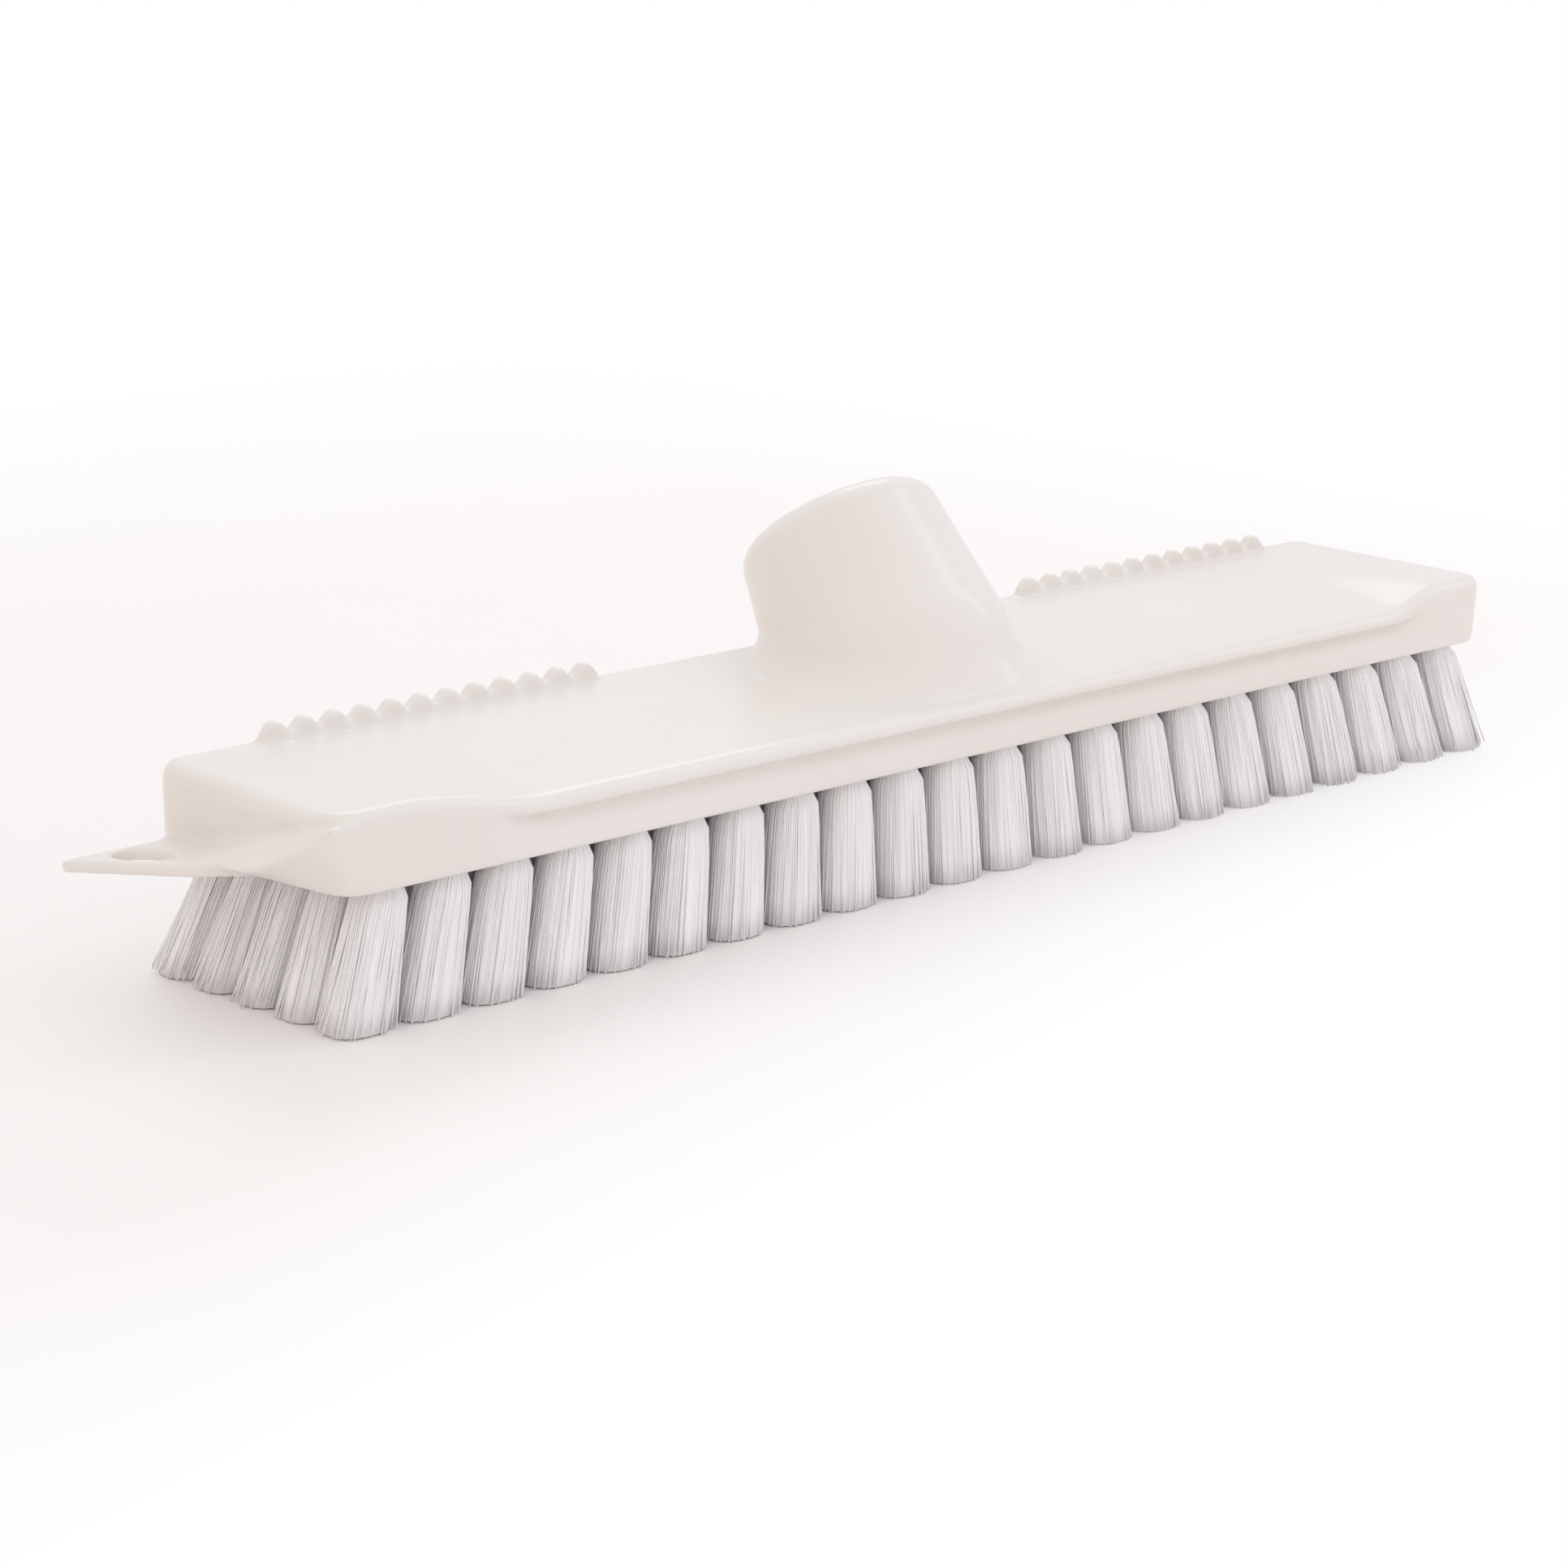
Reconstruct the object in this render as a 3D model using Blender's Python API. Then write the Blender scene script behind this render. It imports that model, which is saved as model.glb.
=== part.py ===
"""Floor scrub brush head: one moulded block with a leaning handle socket, and 22 cross rows of tufts.

The block runs along X, its front faces -Y and the bristle tips stand on z = 0.
The origin is the middle of the base of the whole model's bounding box.
"""
import math

import bmesh
import bpy
from mathutils import Matrix, Vector

MM = 0.001

# Driving sizes of the block
BLOCK_LENGTH = 303.0 * MM
BLOCK_WIDTH = 56.0 * MM
BLOCK_HEIGHT = 14.8 * MM
FRONT_RIM_HEIGHT = 10.8 * MM
RIM_ROUND = 3.0 * MM
CORNER_RADIUS = 2.5 * MM
END_ROUND = 1.5 * MM
SCOOP_DEPTH = 2.7 * MM

# The right end wall leans in towards the underside and meets it in a round
END_DRAFT = 1.6 * MM
END_DRAFT_REACH = 14.0 * MM
END_FOOT_ROUND = 3.0 * MM

# The left end, which carries the hang tab, runs further out and leans in under its front corner only
TAB_END_EXTRA = 5.0 * MM
TAB_END_DRAFT = 3.0 * MM
TAB_END_DRAFT_REACH = 12.0 * MM
TAB_END_ROUND = 3.0 * MM
TAB_END_FRONT_RADIUS = 3.5 * MM
TAB_END_BACK_RADIUS = 5.0 * MM

# Distances from the block's ends where the front rim is low and where it has risen to full height, and where
# the finger scoops are full depth and where they have run out
LEFT_RISE_REACH = 48.5 * MM
LEFT_RISE_END_REACH = 17.5 * MM
RIGHT_RISE_REACH = 29.5 * MM
RIGHT_RISE_END_REACH = 12.5 * MM
LEFT_SCOOP_REACH = 48.5 * MM
LEFT_SCOOP_END_REACH = 31.5 * MM
RIGHT_SCOOP_REACH = 33.5 * MM
RIGHT_SCOOP_END_REACH = 15.5 * MM

# Places of the cross-sections, as shares of the straight half of the block, and angles of its rounds
SECTION_SHARES = (0.0, 0.35, 0.73, 0.765, 0.8, 0.83, 0.86, 0.89, 0.915, 0.94, 0.965, 1.0)
CORNER_ANGLES = (22.0, 44.0, 64.0, 80.0, 90.0)
ROUND_ANGLES = (0.0, 30.0, 60.0, 90.0)

# Height and depth of the scoop's points, as shares of the wall below its round edge and of the scoop's depth
SCOOP_SHARES = ((0.10, 0.0), (0.40, 0.20), (0.65, 0.60), (0.86, 1.0), (0.93, 0.90), (0.97, 0.25))

# Handle socket
SOCKET_TILT = math.radians(35.0)
SOCKET_BASE_Y = 1.0 * MM
SOCKET_BASE_HEIGHT = 13.5 * MM
SOCKET_BASE_RADIUS = 24.8 * MM
SOCKET_MOUTH_RADIUS = 21.2 * MM
SOCKET_LENGTH = 33.0 * MM
SOCKET_ROUND = 6.0 * MM
SOCKET_SQUARE_FROM = 20.0 * MM
SOCKET_BORE_RADIUS = 12.0 * MM
SOCKET_BORE_DEPTH = 32.0 * MM
SOCKET_SIDES = 44
MOUTH_ANGLES = (30.0, 60.0, 90.0)
FOOT_HALF_LENGTH = 34.5 * MM
FOOT_FRONT_INSET = 3.0 * MM
FOOT_BACK_INSET = 0.4 * MM
FOOT_FRONT_SINK = 0.2 * MM
FOOT_BACK_SINK = 3.2 * MM
FOOT_ROOT_INSET = 3.5 * MM
FOOT_ROOT_DROP = 2.5 * MM
FOOT_SQUARENESS = 2.6
ELLIPSE_SQUARENESS = 2.0

# How the socket's foot turns into its square sections: front run, front rise, back run and flare left
FOOT_SHARES = (
    (0.058, 0.056, 0.20, 0.81),
    (0.116, 0.136, 0.40, 0.516),
    (0.179, 0.260, 0.55, 0.303),
    (0.242, 0.415, 0.68, 0.189),
    (0.358, 0.570, 0.80, 0.098),
    (0.632, 0.752, 0.91, 0.054),
)

# Rows of small teeth behind the socket
TOOTH_PITCH = 6.5 * MM
TOOTH_GAP = 0.5 * MM
TOOTH_FLANK = 2.3 * MM
TOOTH_HEIGHT = 3.8 * MM
TOOTH_FLOOR = 1.3 * MM
TOOTH_WIDTH = 3.4 * MM
TOOTH_ROUND = 1.4 * MM
TEETH_START = 58.0 * MM
TEETH_END_REACH = 15.5 * MM
TEETH_BACK_INSET = 4.0 * MM
TEETH_SINK = 1.5 * MM

# Hang tab at the left end
TAB_THICKNESS = 2.4 * MM
TAB_REACH = 25.2 * MM
TAB_BACK_INSET = 8.4 * MM
TAB_KNEE_REACH = 8.7 * MM
TAB_KNEE_Y = 0.5 * MM
TAB_ROOT_REACH = 0.7 * MM
TAB_ROOT_Y = 5.0 * MM
TAB_ROOT_ROUND = 5.0 * MM
TAB_OVERLAP = 5.0 * MM
TAB_TIP_ROUND = 0.8 * MM
TAB_KNEE_ROUND = 6.0 * MM
TAB_FILLET = 4.0 * MM
HANG_HOLE_REACH = 11.4 * MM
HANG_HOLE_INSET = 6.8 * MM
HANG_HOLE_LENGTH = 11.4 * MM
HANG_HOLE_WIDTH = 6.6 * MM
HANG_HOLE_SIDES = 28
ARC_STEPS = 4

# Web between the tab and the left front corner: place along the width, reach at the bottom and at the edge,
# height of the edge and height at the end wall, as shares of half the width, the reach and the block's height
WEB_REACH = 8.0 * MM
WEB_LIFT = 0.3 * MM
WEB_OVERLAP = 8.0 * MM
WEB_SHARES = (
    (-0.996, -0.56, -0.25, 0.696, 0.892),
    (-0.964, -0.43, 0.05, 0.655, 0.878),
    (-0.893, -0.36, 0.22, 0.615, 0.838),
    (-0.786, -0.28, 0.39, 0.540, 0.777),
    (-0.643, -0.17, 0.56, 0.419, 0.696),
    (-0.500, -0.10, 0.625, 0.297, 0.615),
    (-0.393, -0.06, 0.67, 0.223, 0.561),
    (-0.304, -0.01, 0.70, 0.186, 0.520),
    (-0.214, 0.06, 0.73, 0.169, 0.473),
    (-0.107, 0.25, 0.82, 0.162, 0.419),
    (0.0, 0.44, 0.975, 0.157, 0.365),
    (0.179, 0.44, 0.81, 0.149, 0.284),
    (0.429, 0.125, 0.44, 0.142, 0.149),
)

# Bristles
COLUMN_COUNT = 22
COLUMN_END_MARGIN = 9.75 * MM
ROW_COUNT = 5
ROW_EDGE_MARGIN = 6.2 * MM
TRIM_HEIGHT = 25.0 * MM
TRIM_CUT = 0.5 * MM
STRAND_ROOT_WIDTH = 3.4 * MM
STRAND_TIP_WIDTH = 3.6 * MM
STRAND_PITCH = 3.8 * MM
STRAND_ROOTING = 1.6 * MM
TIP_SPREAD_SHARE = 1.2
FRONT_LEAN = 1.8 * MM
END_FAN = 11.0 * MM
FRONT_FAN_SHARE = 0.7
STRAND_SIDES = 4
SLICE_DEPTH = 3.2 * MM
SLICE_MARGIN_X = 1.0 * MM
SLICE_MARGIN_Y = 0.15 * MM

# Shared fits
SEAT_CLEARANCE = 0.3 * MM
OVERRUN = 5.0 * MM

# Plastic of the block and of the filaments
BLOCK_COLOR = (0.86, 0.84, 0.82)
BLOCK_ROUGHNESS = 0.22
BRISTLE_COLOR = (0.80, 0.79, 0.77)
BRISTLE_ROUGHNESS = 0.5

# Mesh settings
WELD = 0.01 * MM
SHARP_ANGLE = math.radians(32.0)

# Worked out from the sizes above
HALF_LENGTH = BLOCK_LENGTH / 2
HALF_WIDTH = BLOCK_WIDTH / 2
LEFT_REACH = HALF_LENGTH + TAB_END_EXTRA
TOOTH_COUNT = round((HALF_LENGTH - TEETH_END_REACH - TEETH_START) / TOOTH_PITCH)
TEETH_Y = HALF_WIDTH - TEETH_BACK_INSET
TAB_BACK_Y = HALF_WIDTH - TAB_BACK_INSET
HANG_HOLE_Y = TAB_BACK_Y - HANG_HOLE_INSET
TAB_EDGE_ANGLE = math.atan2(TAB_BACK_Y - TAB_KNEE_Y, TAB_KNEE_REACH - TAB_REACH)
COLUMN_PITCH = (BLOCK_LENGTH - 2 * COLUMN_END_MARGIN) / (COLUMN_COUNT - 1)
ROW_PITCH = (BLOCK_WIDTH - 2 * ROW_EDGE_MARGIN) / (ROW_COUNT - 1)
TUFT_WIDTH = STRAND_PITCH + STRAND_ROOT_WIDTH
SOCKET_AXIS = Vector((0.0, math.sin(SOCKET_TILT), math.cos(SOCKET_TILT)))
SOCKET_BASE = Vector((0.0, SOCKET_BASE_Y, TRIM_HEIGHT + SOCKET_BASE_HEIGHT))
SOCKET_MOUTH = SOCKET_BASE + SOCKET_AXIS * SOCKET_LENGTH


def clear_scene():
    """Removes whatever the start-up file holds."""
    for item in list(bpy.data.objects):
        bpy.data.objects.remove(item, do_unlink=True)


def make_collection(name):
    """Adds a collection to the scene."""
    collection = bpy.data.collections.new(name)
    bpy.context.scene.collection.children.link(collection)
    return collection


def make_material(name, color, roughness):
    """A plain plastic with the given colour."""
    material = bpy.data.materials.new(name)
    material.use_nodes = True
    shader = material.node_tree.nodes["Principled BSDF"]
    shader.inputs["Base Color"].default_value = (*color, 1.0)
    shader.inputs["Roughness"].default_value = roughness
    return material


def add_mesh(name, shape, collection):
    """Turns a bmesh into an object with outward faces and smooth shading."""
    bmesh.ops.recalc_face_normals(shape, faces=shape.faces)
    for face in shape.faces:
        face.smooth = True
    mesh = bpy.data.meshes.new(name)
    shape.to_mesh(mesh)
    shape.free()
    mesh.set_sharp_from_angle(angle=SHARP_ANGLE)
    item = bpy.data.objects.new(name, mesh)
    collection.objects.link(item)
    return item


def add_cutter(name, shape, cutters):
    """An operand for the Booleans: drawn as wire and left out of renders."""
    item = add_mesh(name, shape, cutters)
    item.hide_render = True
    item.display_type = "WIRE"
    return item


def loft(rings):
    """Skins a row of rings with as many points each, and closes both ends."""
    shape = bmesh.new()
    rows = [[shape.verts.new(point) for point in ring] for ring in rings]
    count = len(rows[0])
    for low, high in zip(rows, rows[1:]):
        for index in range(count):
            following = (index + 1) % count
            shape.faces.new((low[index], low[following], high[following], high[index]))
    shape.faces.new(rows[0])
    shape.faces.new(rows[-1])
    return shape


def add_box(shape, low, high):
    """Adds a box between two corners to a bmesh."""
    low = Vector(low)
    high = Vector(high)
    size = high - low
    place = Matrix.Translation((low + high) / 2) @ Matrix.Diagonal((*size, 1.0))
    bmesh.ops.create_cube(shape, size=1.0, matrix=place)


def rounded_outline(corners):
    """Points of a closed outline whose corners (x, y, radius) are turned into arcs."""
    points = []
    for index, (x, y, radius) in enumerate(corners):
        corner = Vector((x, y))
        before = Vector(corners[index - 1][:2]) - corner
        after = Vector(corners[(index + 1) % len(corners)][:2]) - corner
        if radius == 0:
            points.append(corner)
            continue
        before.normalize()
        after.normalize()
        half_angle = before.angle(after) / 2
        centre = corner + (before + after).normalized() * radius / math.sin(half_angle)
        start = corner + before * radius / math.tan(half_angle) - centre
        sweep = start.angle_signed(corner + after * radius / math.tan(half_angle) - centre)
        for step in range(ARC_STEPS + 1):
            turn = Matrix.Rotation(-sweep * step / ARC_STEPS, 2)
            points.append(centre + turn @ start)
    return points


def extruded_outline(name, outline, thickness, place):
    """A flat plate from a closed outline, made as a filled curve and turned into a mesh."""
    curve = bpy.data.curves.new(name, "CURVE")
    curve.dimensions = "2D"
    curve.fill_mode = "BOTH"
    curve.extrude = thickness / 2
    spline = curve.splines.new("POLY")
    spline.points.add(len(outline) - 1)
    for point, (x, y) in zip(spline.points, outline):
        point.co = (x, y, 0.0, 1.0)
    spline.use_cyclic_u = True
    holder = bpy.data.objects.new(name, curve)
    bpy.context.scene.collection.objects.link(holder)
    bpy.context.view_layer.update()
    evaluated = holder.evaluated_get(bpy.context.evaluated_depsgraph_get())
    mesh = bpy.data.meshes.new_from_object(evaluated)
    shape = bmesh.new()
    shape.from_mesh(mesh)
    bmesh.ops.remove_doubles(shape, verts=shape.verts, dist=WELD)
    bmesh.ops.transform(shape, matrix=place, verts=shape.verts)
    bpy.data.objects.remove(holder, do_unlink=True)
    return shape


def add_boolean(target, operand, operation):
    """Fuses or cuts the target with another object."""
    modifier = target.modifiers.new(operand.name, "BOOLEAN")
    modifier.operation = operation
    modifier.object = operand
    modifier.solver = "EXACT"


def smooth_step(value, start, end):
    """Rises softly from 0 to 1 between start and end."""
    share = min(max((value - start) / (end - start), 0.0), 1.0)
    return share * share * (3.0 - 2.0 * share)


def end_distance(x):
    """How far a place is from the block's nearer end."""
    return LEFT_REACH + x if x < 0 else HALF_LENGTH - x


def front_height(x):
    """Height of the front rim: low along the middle and full at both ends."""
    low_reach = LEFT_RISE_REACH if x < 0 else RIGHT_RISE_REACH
    end_reach = LEFT_RISE_END_REACH if x < 0 else RIGHT_RISE_END_REACH
    fall = smooth_step(end_distance(x), end_reach, low_reach)
    return BLOCK_HEIGHT - (BLOCK_HEIGHT - FRONT_RIM_HEIGHT) * fall


def scoop_depth(x):
    """Depth of the finger scoops: full along the middle and none at both ends."""
    full_reach = LEFT_SCOOP_REACH if x < 0 else RIGHT_SCOOP_REACH
    end_reach = LEFT_SCOOP_END_REACH if x < 0 else RIGHT_SCOOP_END_REACH
    return SCOOP_DEPTH * smooth_step(end_distance(x), end_reach, full_reach)


def arc_drop(distance, radius):
    """How far a quarter round of this radius has fallen at a distance into it."""
    inside = min(max(distance, 0.0), radius)
    return radius - math.sqrt(radius * radius - inside * inside)


def end_draft(x, y, height):
    """How far an end wall has leant in, along X, at a place and a height of the block."""
    low_share = 1.0 - height / BLOCK_HEIGHT
    if x < 0:
        front_share = smooth_step(-y, 0.0, HALF_WIDTH)
        share = 1.0 - smooth_step(end_distance(x), 0.0, TAB_END_DRAFT_REACH)
        return TAB_END_DRAFT * share * front_share * low_share
    share = 1.0 - smooth_step(end_distance(x), 0.0, END_DRAFT_REACH)
    return -END_DRAFT * share * low_share


def wall_points(foot, height, scoop):
    """One long wall from its foot to the deck: (inset from the outer face, height) pairs."""
    straight = height - RIM_ROUND
    points = [(0.0, foot)]
    points += [(scoop * depth, foot + (straight - foot) * rise) for rise, depth in SCOOP_SHARES]
    for angle in ROUND_ANGLES:
        turn = math.radians(angle)
        points.append((RIM_ROUND * (1.0 - math.cos(turn)), straight + RIM_ROUND * math.sin(turn)))
    return points


def block_section(x):
    """Cross-section of the block at a place along it."""
    front_radius = TAB_END_FRONT_RADIUS if x < 0 else CORNER_RADIUS
    back_radius = TAB_END_BACK_RADIUS if x < 0 else CORNER_RADIUS
    end_round = TAB_END_ROUND if x < 0 else END_ROUND
    inside = end_distance(x)
    front_edge = HALF_WIDTH - arc_drop(front_radius - inside, front_radius)
    back_edge = HALF_WIDTH - arc_drop(back_radius - inside, back_radius)
    drop = arc_drop(end_round - inside, end_round)
    foot = arc_drop(x - (HALF_LENGTH - END_FOOT_ROUND), END_FOOT_ROUND)
    front = wall_points(foot, front_height(x) - drop, scoop_depth(x))
    back = wall_points(foot, BLOCK_HEIGHT - drop, scoop_depth(x))
    ring = [(depth - front_edge, height) for depth, height in front]
    ring += [(back_edge - depth, height) for depth, height in reversed(back)]
    return [(x + end_draft(x, y, height), y, TRIM_HEIGHT + height) for y, height in ring]


def section_places(reach, radii):
    """Distances from the middle of the block to its cross-sections on the way to one end."""
    straight = reach - max(radii)
    places = [straight * share for share in SECTION_SHARES]
    for radius in radii:
        places += [reach - radius * (1.0 - math.sin(math.radians(angle))) for angle in CORNER_ANGLES]
    return places


def block_body(parts):
    """The deck with its rims, scoops and round ends."""
    right = section_places(HALF_LENGTH, (END_FOOT_ROUND, CORNER_RADIUS))
    left = section_places(LEFT_REACH, (TAB_END_BACK_RADIUS, TAB_END_FRONT_RADIUS))
    places = sorted({-place for place in left} | set(right))
    return add_mesh("block", loft([block_section(x) for x in places]), parts)


def socket_radius(station):
    """Radius of the socket's straight cone at a place along its axis."""
    share = station / (SOCKET_LENGTH - SOCKET_ROUND)
    return SOCKET_BASE_RADIUS + (SOCKET_MOUTH_RADIUS - SOCKET_BASE_RADIUS) * share


def square_edges(station, radius):
    """Front and back points, in Y and Z, of a circle square to the socket's axis."""
    centre = SOCKET_BASE + SOCKET_AXIS * station
    across = Vector((0.0, math.cos(SOCKET_TILT), -math.sin(SOCKET_TILT))) * radius
    return centre - across, centre + across


def rounded_power(value, squareness):
    """Keeps the sign of a sine or cosine while it squares up an ellipse."""
    return math.copysign(abs(value) ** (2 / squareness), value)


def socket_ring(front, back, half_length, squareness=ELLIPSE_SQUARENESS):
    """An ellipse, or a squarer one, through a front and a back point with a given half length along X."""
    centre = (front + back) / 2
    across = (back - front) / 2
    along = Vector((half_length, 0.0, 0.0))
    ring = []
    for side in range(SOCKET_SIDES):
        turn = 2 * math.pi * side / SOCKET_SIDES
        reach_x = rounded_power(math.cos(turn), squareness)
        reach_y = rounded_power(math.sin(turn), squareness)
        ring.append(centre + along * reach_x + across * reach_y)
    return ring


def socket_body(cutters):
    """The leaning socket with the flared foot that spreads over the deck."""
    front_z = TRIM_HEIGHT + FRONT_RIM_HEIGHT - FOOT_FRONT_SINK
    back_z = TRIM_HEIGHT + BLOCK_HEIGHT - FOOT_BACK_SINK
    foot_front = Vector((0.0, FOOT_FRONT_INSET - HALF_WIDTH, front_z))
    foot_back = Vector((0.0, HALF_WIDTH - FOOT_BACK_INSET, back_z))
    root_step = Vector((0.0, FOOT_ROOT_INSET, -FOOT_ROOT_DROP))
    root_back_step = Vector((0.0, -FOOT_ROOT_INSET, -FOOT_ROOT_DROP))
    root_half_length = FOOT_HALF_LENGTH - FOOT_ROOT_INSET
    root_front = foot_front + root_step
    root_back = foot_back + root_back_step
    rings = [socket_ring(root_front, root_back, root_half_length, FOOT_SQUARENESS)]
    rings.append(socket_ring(foot_front, foot_back, FOOT_HALF_LENGTH, FOOT_SQUARENESS))
    square_radius = socket_radius(SOCKET_SQUARE_FROM)
    square_front, square_back = square_edges(SOCKET_SQUARE_FROM, square_radius)
    for front_run, front_rise, back_run, flare in FOOT_SHARES:
        step = square_front - foot_front
        front = foot_front + Vector((0.0, step.y * front_run, step.z * front_rise))
        back = foot_back.lerp(square_back, back_run)
        half_length = square_radius + (FOOT_HALF_LENGTH - square_radius) * flare
        squareness = ELLIPSE_SQUARENESS + (FOOT_SQUARENESS - ELLIPSE_SQUARENESS) * flare
        rings.append(socket_ring(front, back, half_length, squareness))
    rings.append(socket_ring(square_front, square_back, square_radius))
    shoulder = SOCKET_LENGTH - SOCKET_ROUND
    rings.append(socket_ring(*square_edges(shoulder, SOCKET_MOUTH_RADIUS), SOCKET_MOUTH_RADIUS))
    for angle in MOUTH_ANGLES:
        turn = math.radians(angle)
        radius = SOCKET_MOUTH_RADIUS - SOCKET_ROUND * (1.0 - math.cos(turn))
        rings.append(socket_ring(*square_edges(shoulder + SOCKET_ROUND * math.sin(turn), radius), radius))
    return add_cutter("socket", loft(rings), cutters)


def socket_bore(cutters):
    """The blind hole that the handle goes into."""
    shape = bmesh.new()
    depth = SOCKET_BORE_DEPTH + OVERRUN
    middle = SOCKET_MOUTH + SOCKET_AXIS * (OVERRUN - depth / 2)
    place = Matrix.Translation(middle) @ Matrix.Rotation(-SOCKET_TILT, 4, "X")
    bmesh.ops.create_cone(shape, cap_ends=True, segments=SOCKET_SIDES, radius1=SOCKET_BORE_RADIUS,
                          radius2=SOCKET_BORE_RADIUS, depth=depth, matrix=place)
    return add_cutter("socket_bore", shape, cutters)


def teeth_outline():
    """Side view of one row of teeth, from its buried foot up."""
    corners = []
    for index in range(TOOTH_COUNT):
        left = TOOTH_PITCH * index + TOOTH_GAP / 2
        right = TOOTH_PITCH * (index + 1) - TOOTH_GAP / 2
        corners.append((left, TOOTH_FLOOR, 0))
        corners.append((left + TOOTH_FLANK, TOOTH_HEIGHT, TOOTH_ROUND))
        corners.append((right - TOOTH_FLANK, TOOTH_HEIGHT, TOOTH_ROUND))
        corners.append((right, TOOTH_FLOOR, 0))
    corners.append((TOOTH_PITCH * TOOTH_COUNT - TOOTH_GAP / 2, -TEETH_SINK, 0))
    corners.append((TOOTH_GAP / 2, -TEETH_SINK, 0))
    return rounded_outline(corners)


def teeth_row(name, start, cutters):
    """One row of teeth standing on the back of the deck."""
    upright = Matrix.Rotation(math.pi / 2, 4, "X")
    place = Matrix.Translation((start, TEETH_Y, TRIM_HEIGHT + BLOCK_HEIGHT)) @ upright
    shape = extruded_outline(name, teeth_outline(), TOOTH_WIDTH, place)
    return add_cutter(name, shape, cutters)


def tab_body(cutters):
    """The flat hang tab, level with the block's underside."""
    inner = -(LEFT_REACH - TAB_OVERLAP)
    corners = (
        (inner, TAB_ROOT_Y - TAB_BACK_Y, 0),
        (-(LEFT_REACH + TAB_ROOT_REACH), -TAB_ROOT_Y, TAB_ROOT_ROUND),
        (-(LEFT_REACH + TAB_KNEE_REACH), TAB_KNEE_Y, TAB_KNEE_ROUND),
        (-(LEFT_REACH + TAB_REACH), TAB_BACK_Y, TAB_TIP_ROUND),
        (-(LEFT_REACH + TAB_FILLET), TAB_BACK_Y, TAB_FILLET),
        (-LEFT_REACH, TAB_BACK_Y + TAB_FILLET, 0),
        (inner, TAB_BACK_Y + TAB_FILLET, 0),
    )
    place = Matrix.Translation((0.0, 0.0, TRIM_HEIGHT + TAB_THICKNESS / 2))
    shape = extruded_outline("hang_tab", rounded_outline(corners), TAB_THICKNESS, place)
    return add_cutter("hang_tab", shape, cutters)


def hang_hole(cutters):
    """The oval hole through the hang tab, in line with the tab's slanted outer edge."""
    shape = bmesh.new()
    centre = (-(LEFT_REACH + HANG_HOLE_REACH), HANG_HOLE_Y, TRIM_HEIGHT + TAB_THICKNESS / 2)
    size = (HANG_HOLE_LENGTH, HANG_HOLE_WIDTH, TAB_THICKNESS + 2 * OVERRUN, 1.0)
    turn = Matrix.Rotation(TAB_EDGE_ANGLE, 4, "Z")
    place = Matrix.Translation(centre) @ turn @ Matrix.Diagonal(size)
    bmesh.ops.create_cone(shape, cap_ends=True, segments=HANG_HOLE_SIDES, radius1=0.5, radius2=0.5,
                          depth=1.0, matrix=place)
    return add_cutter("hang_hole", shape, cutters)


def web_body(cutters):
    """The web that rises from the tab's root to the left front corner of the block."""
    inner = -(LEFT_REACH - WEB_OVERLAP)
    rings = []
    for across, foot_reach, edge_reach, edge_height, wall_height in WEB_SHARES:
        y = HALF_WIDTH * across
        edge_z = TRIM_HEIGHT + BLOCK_HEIGHT * edge_height
        wall_z = TRIM_HEIGHT + BLOCK_HEIGHT * wall_height
        rings.append((
            (inner, y, TRIM_HEIGHT + WEB_LIFT),
            (-(LEFT_REACH + WEB_REACH * foot_reach), y, TRIM_HEIGHT + WEB_LIFT),
            (-(LEFT_REACH + WEB_REACH * edge_reach), y, edge_z),
            (-LEFT_REACH, y, wall_z),
            (inner, y, wall_z),
        ))
    return add_cutter("web", loft(rings), cutters)


def column_place(column):
    """Place along X of a cross row of tufts."""
    return COLUMN_PITCH * (column - (COLUMN_COUNT - 1) / 2)


def row_place(row):
    """Place along Y of a tuft within its cross row."""
    return ROW_PITCH * (row - (ROW_COUNT - 1) / 2)


def slice_half_size():
    """Half length and half width of the slice of the block that carries one cross row of tufts."""
    half_x = TUFT_WIDTH / 2 + SLICE_MARGIN_X
    half_y = row_place(ROW_COUNT - 1) + TUFT_WIDTH / 2 + SLICE_MARGIN_Y
    return half_x, half_y


def slice_slots(cutters):
    """The slots in the underside that the slices sit in."""
    shape = bmesh.new()
    half_x, half_y = slice_half_size()
    reach_x = half_x + SEAT_CLEARANCE
    reach_y = half_y + SEAT_CLEARANCE
    top = TRIM_HEIGHT + SLICE_DEPTH + SEAT_CLEARANCE
    for column in range(COLUMN_COUNT):
        x = column_place(column)
        add_box(shape, (x - reach_x, -reach_y, TRIM_HEIGHT - OVERRUN), (x + reach_x, reach_y, top))
    return add_cutter("slots", shape, cutters)


def build_block(parts, cutters):
    """The whole moulding: deck, socket, teeth, tab and web, less its bore, hole and slots."""
    block = block_body(parts)
    add_boolean(block, socket_body(cutters), "UNION")
    row_length = TOOTH_PITCH * TOOTH_COUNT
    add_boolean(block, teeth_row("teeth_right", TEETH_START, cutters), "UNION")
    add_boolean(block, teeth_row("teeth_left", -TEETH_START - row_length, cutters), "UNION")
    add_boolean(block, tab_body(cutters), "UNION")
    add_boolean(block, web_body(cutters), "UNION")
    add_boolean(block, socket_bore(cutters), "DIFFERENCE")
    add_boolean(block, hang_hole(cutters), "DIFFERENCE")
    add_boolean(block, slice_slots(cutters), "DIFFERENCE")
    block.data.materials.append(make_material("block", BLOCK_COLOR, BLOCK_ROUGHNESS))
    return block


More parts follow.
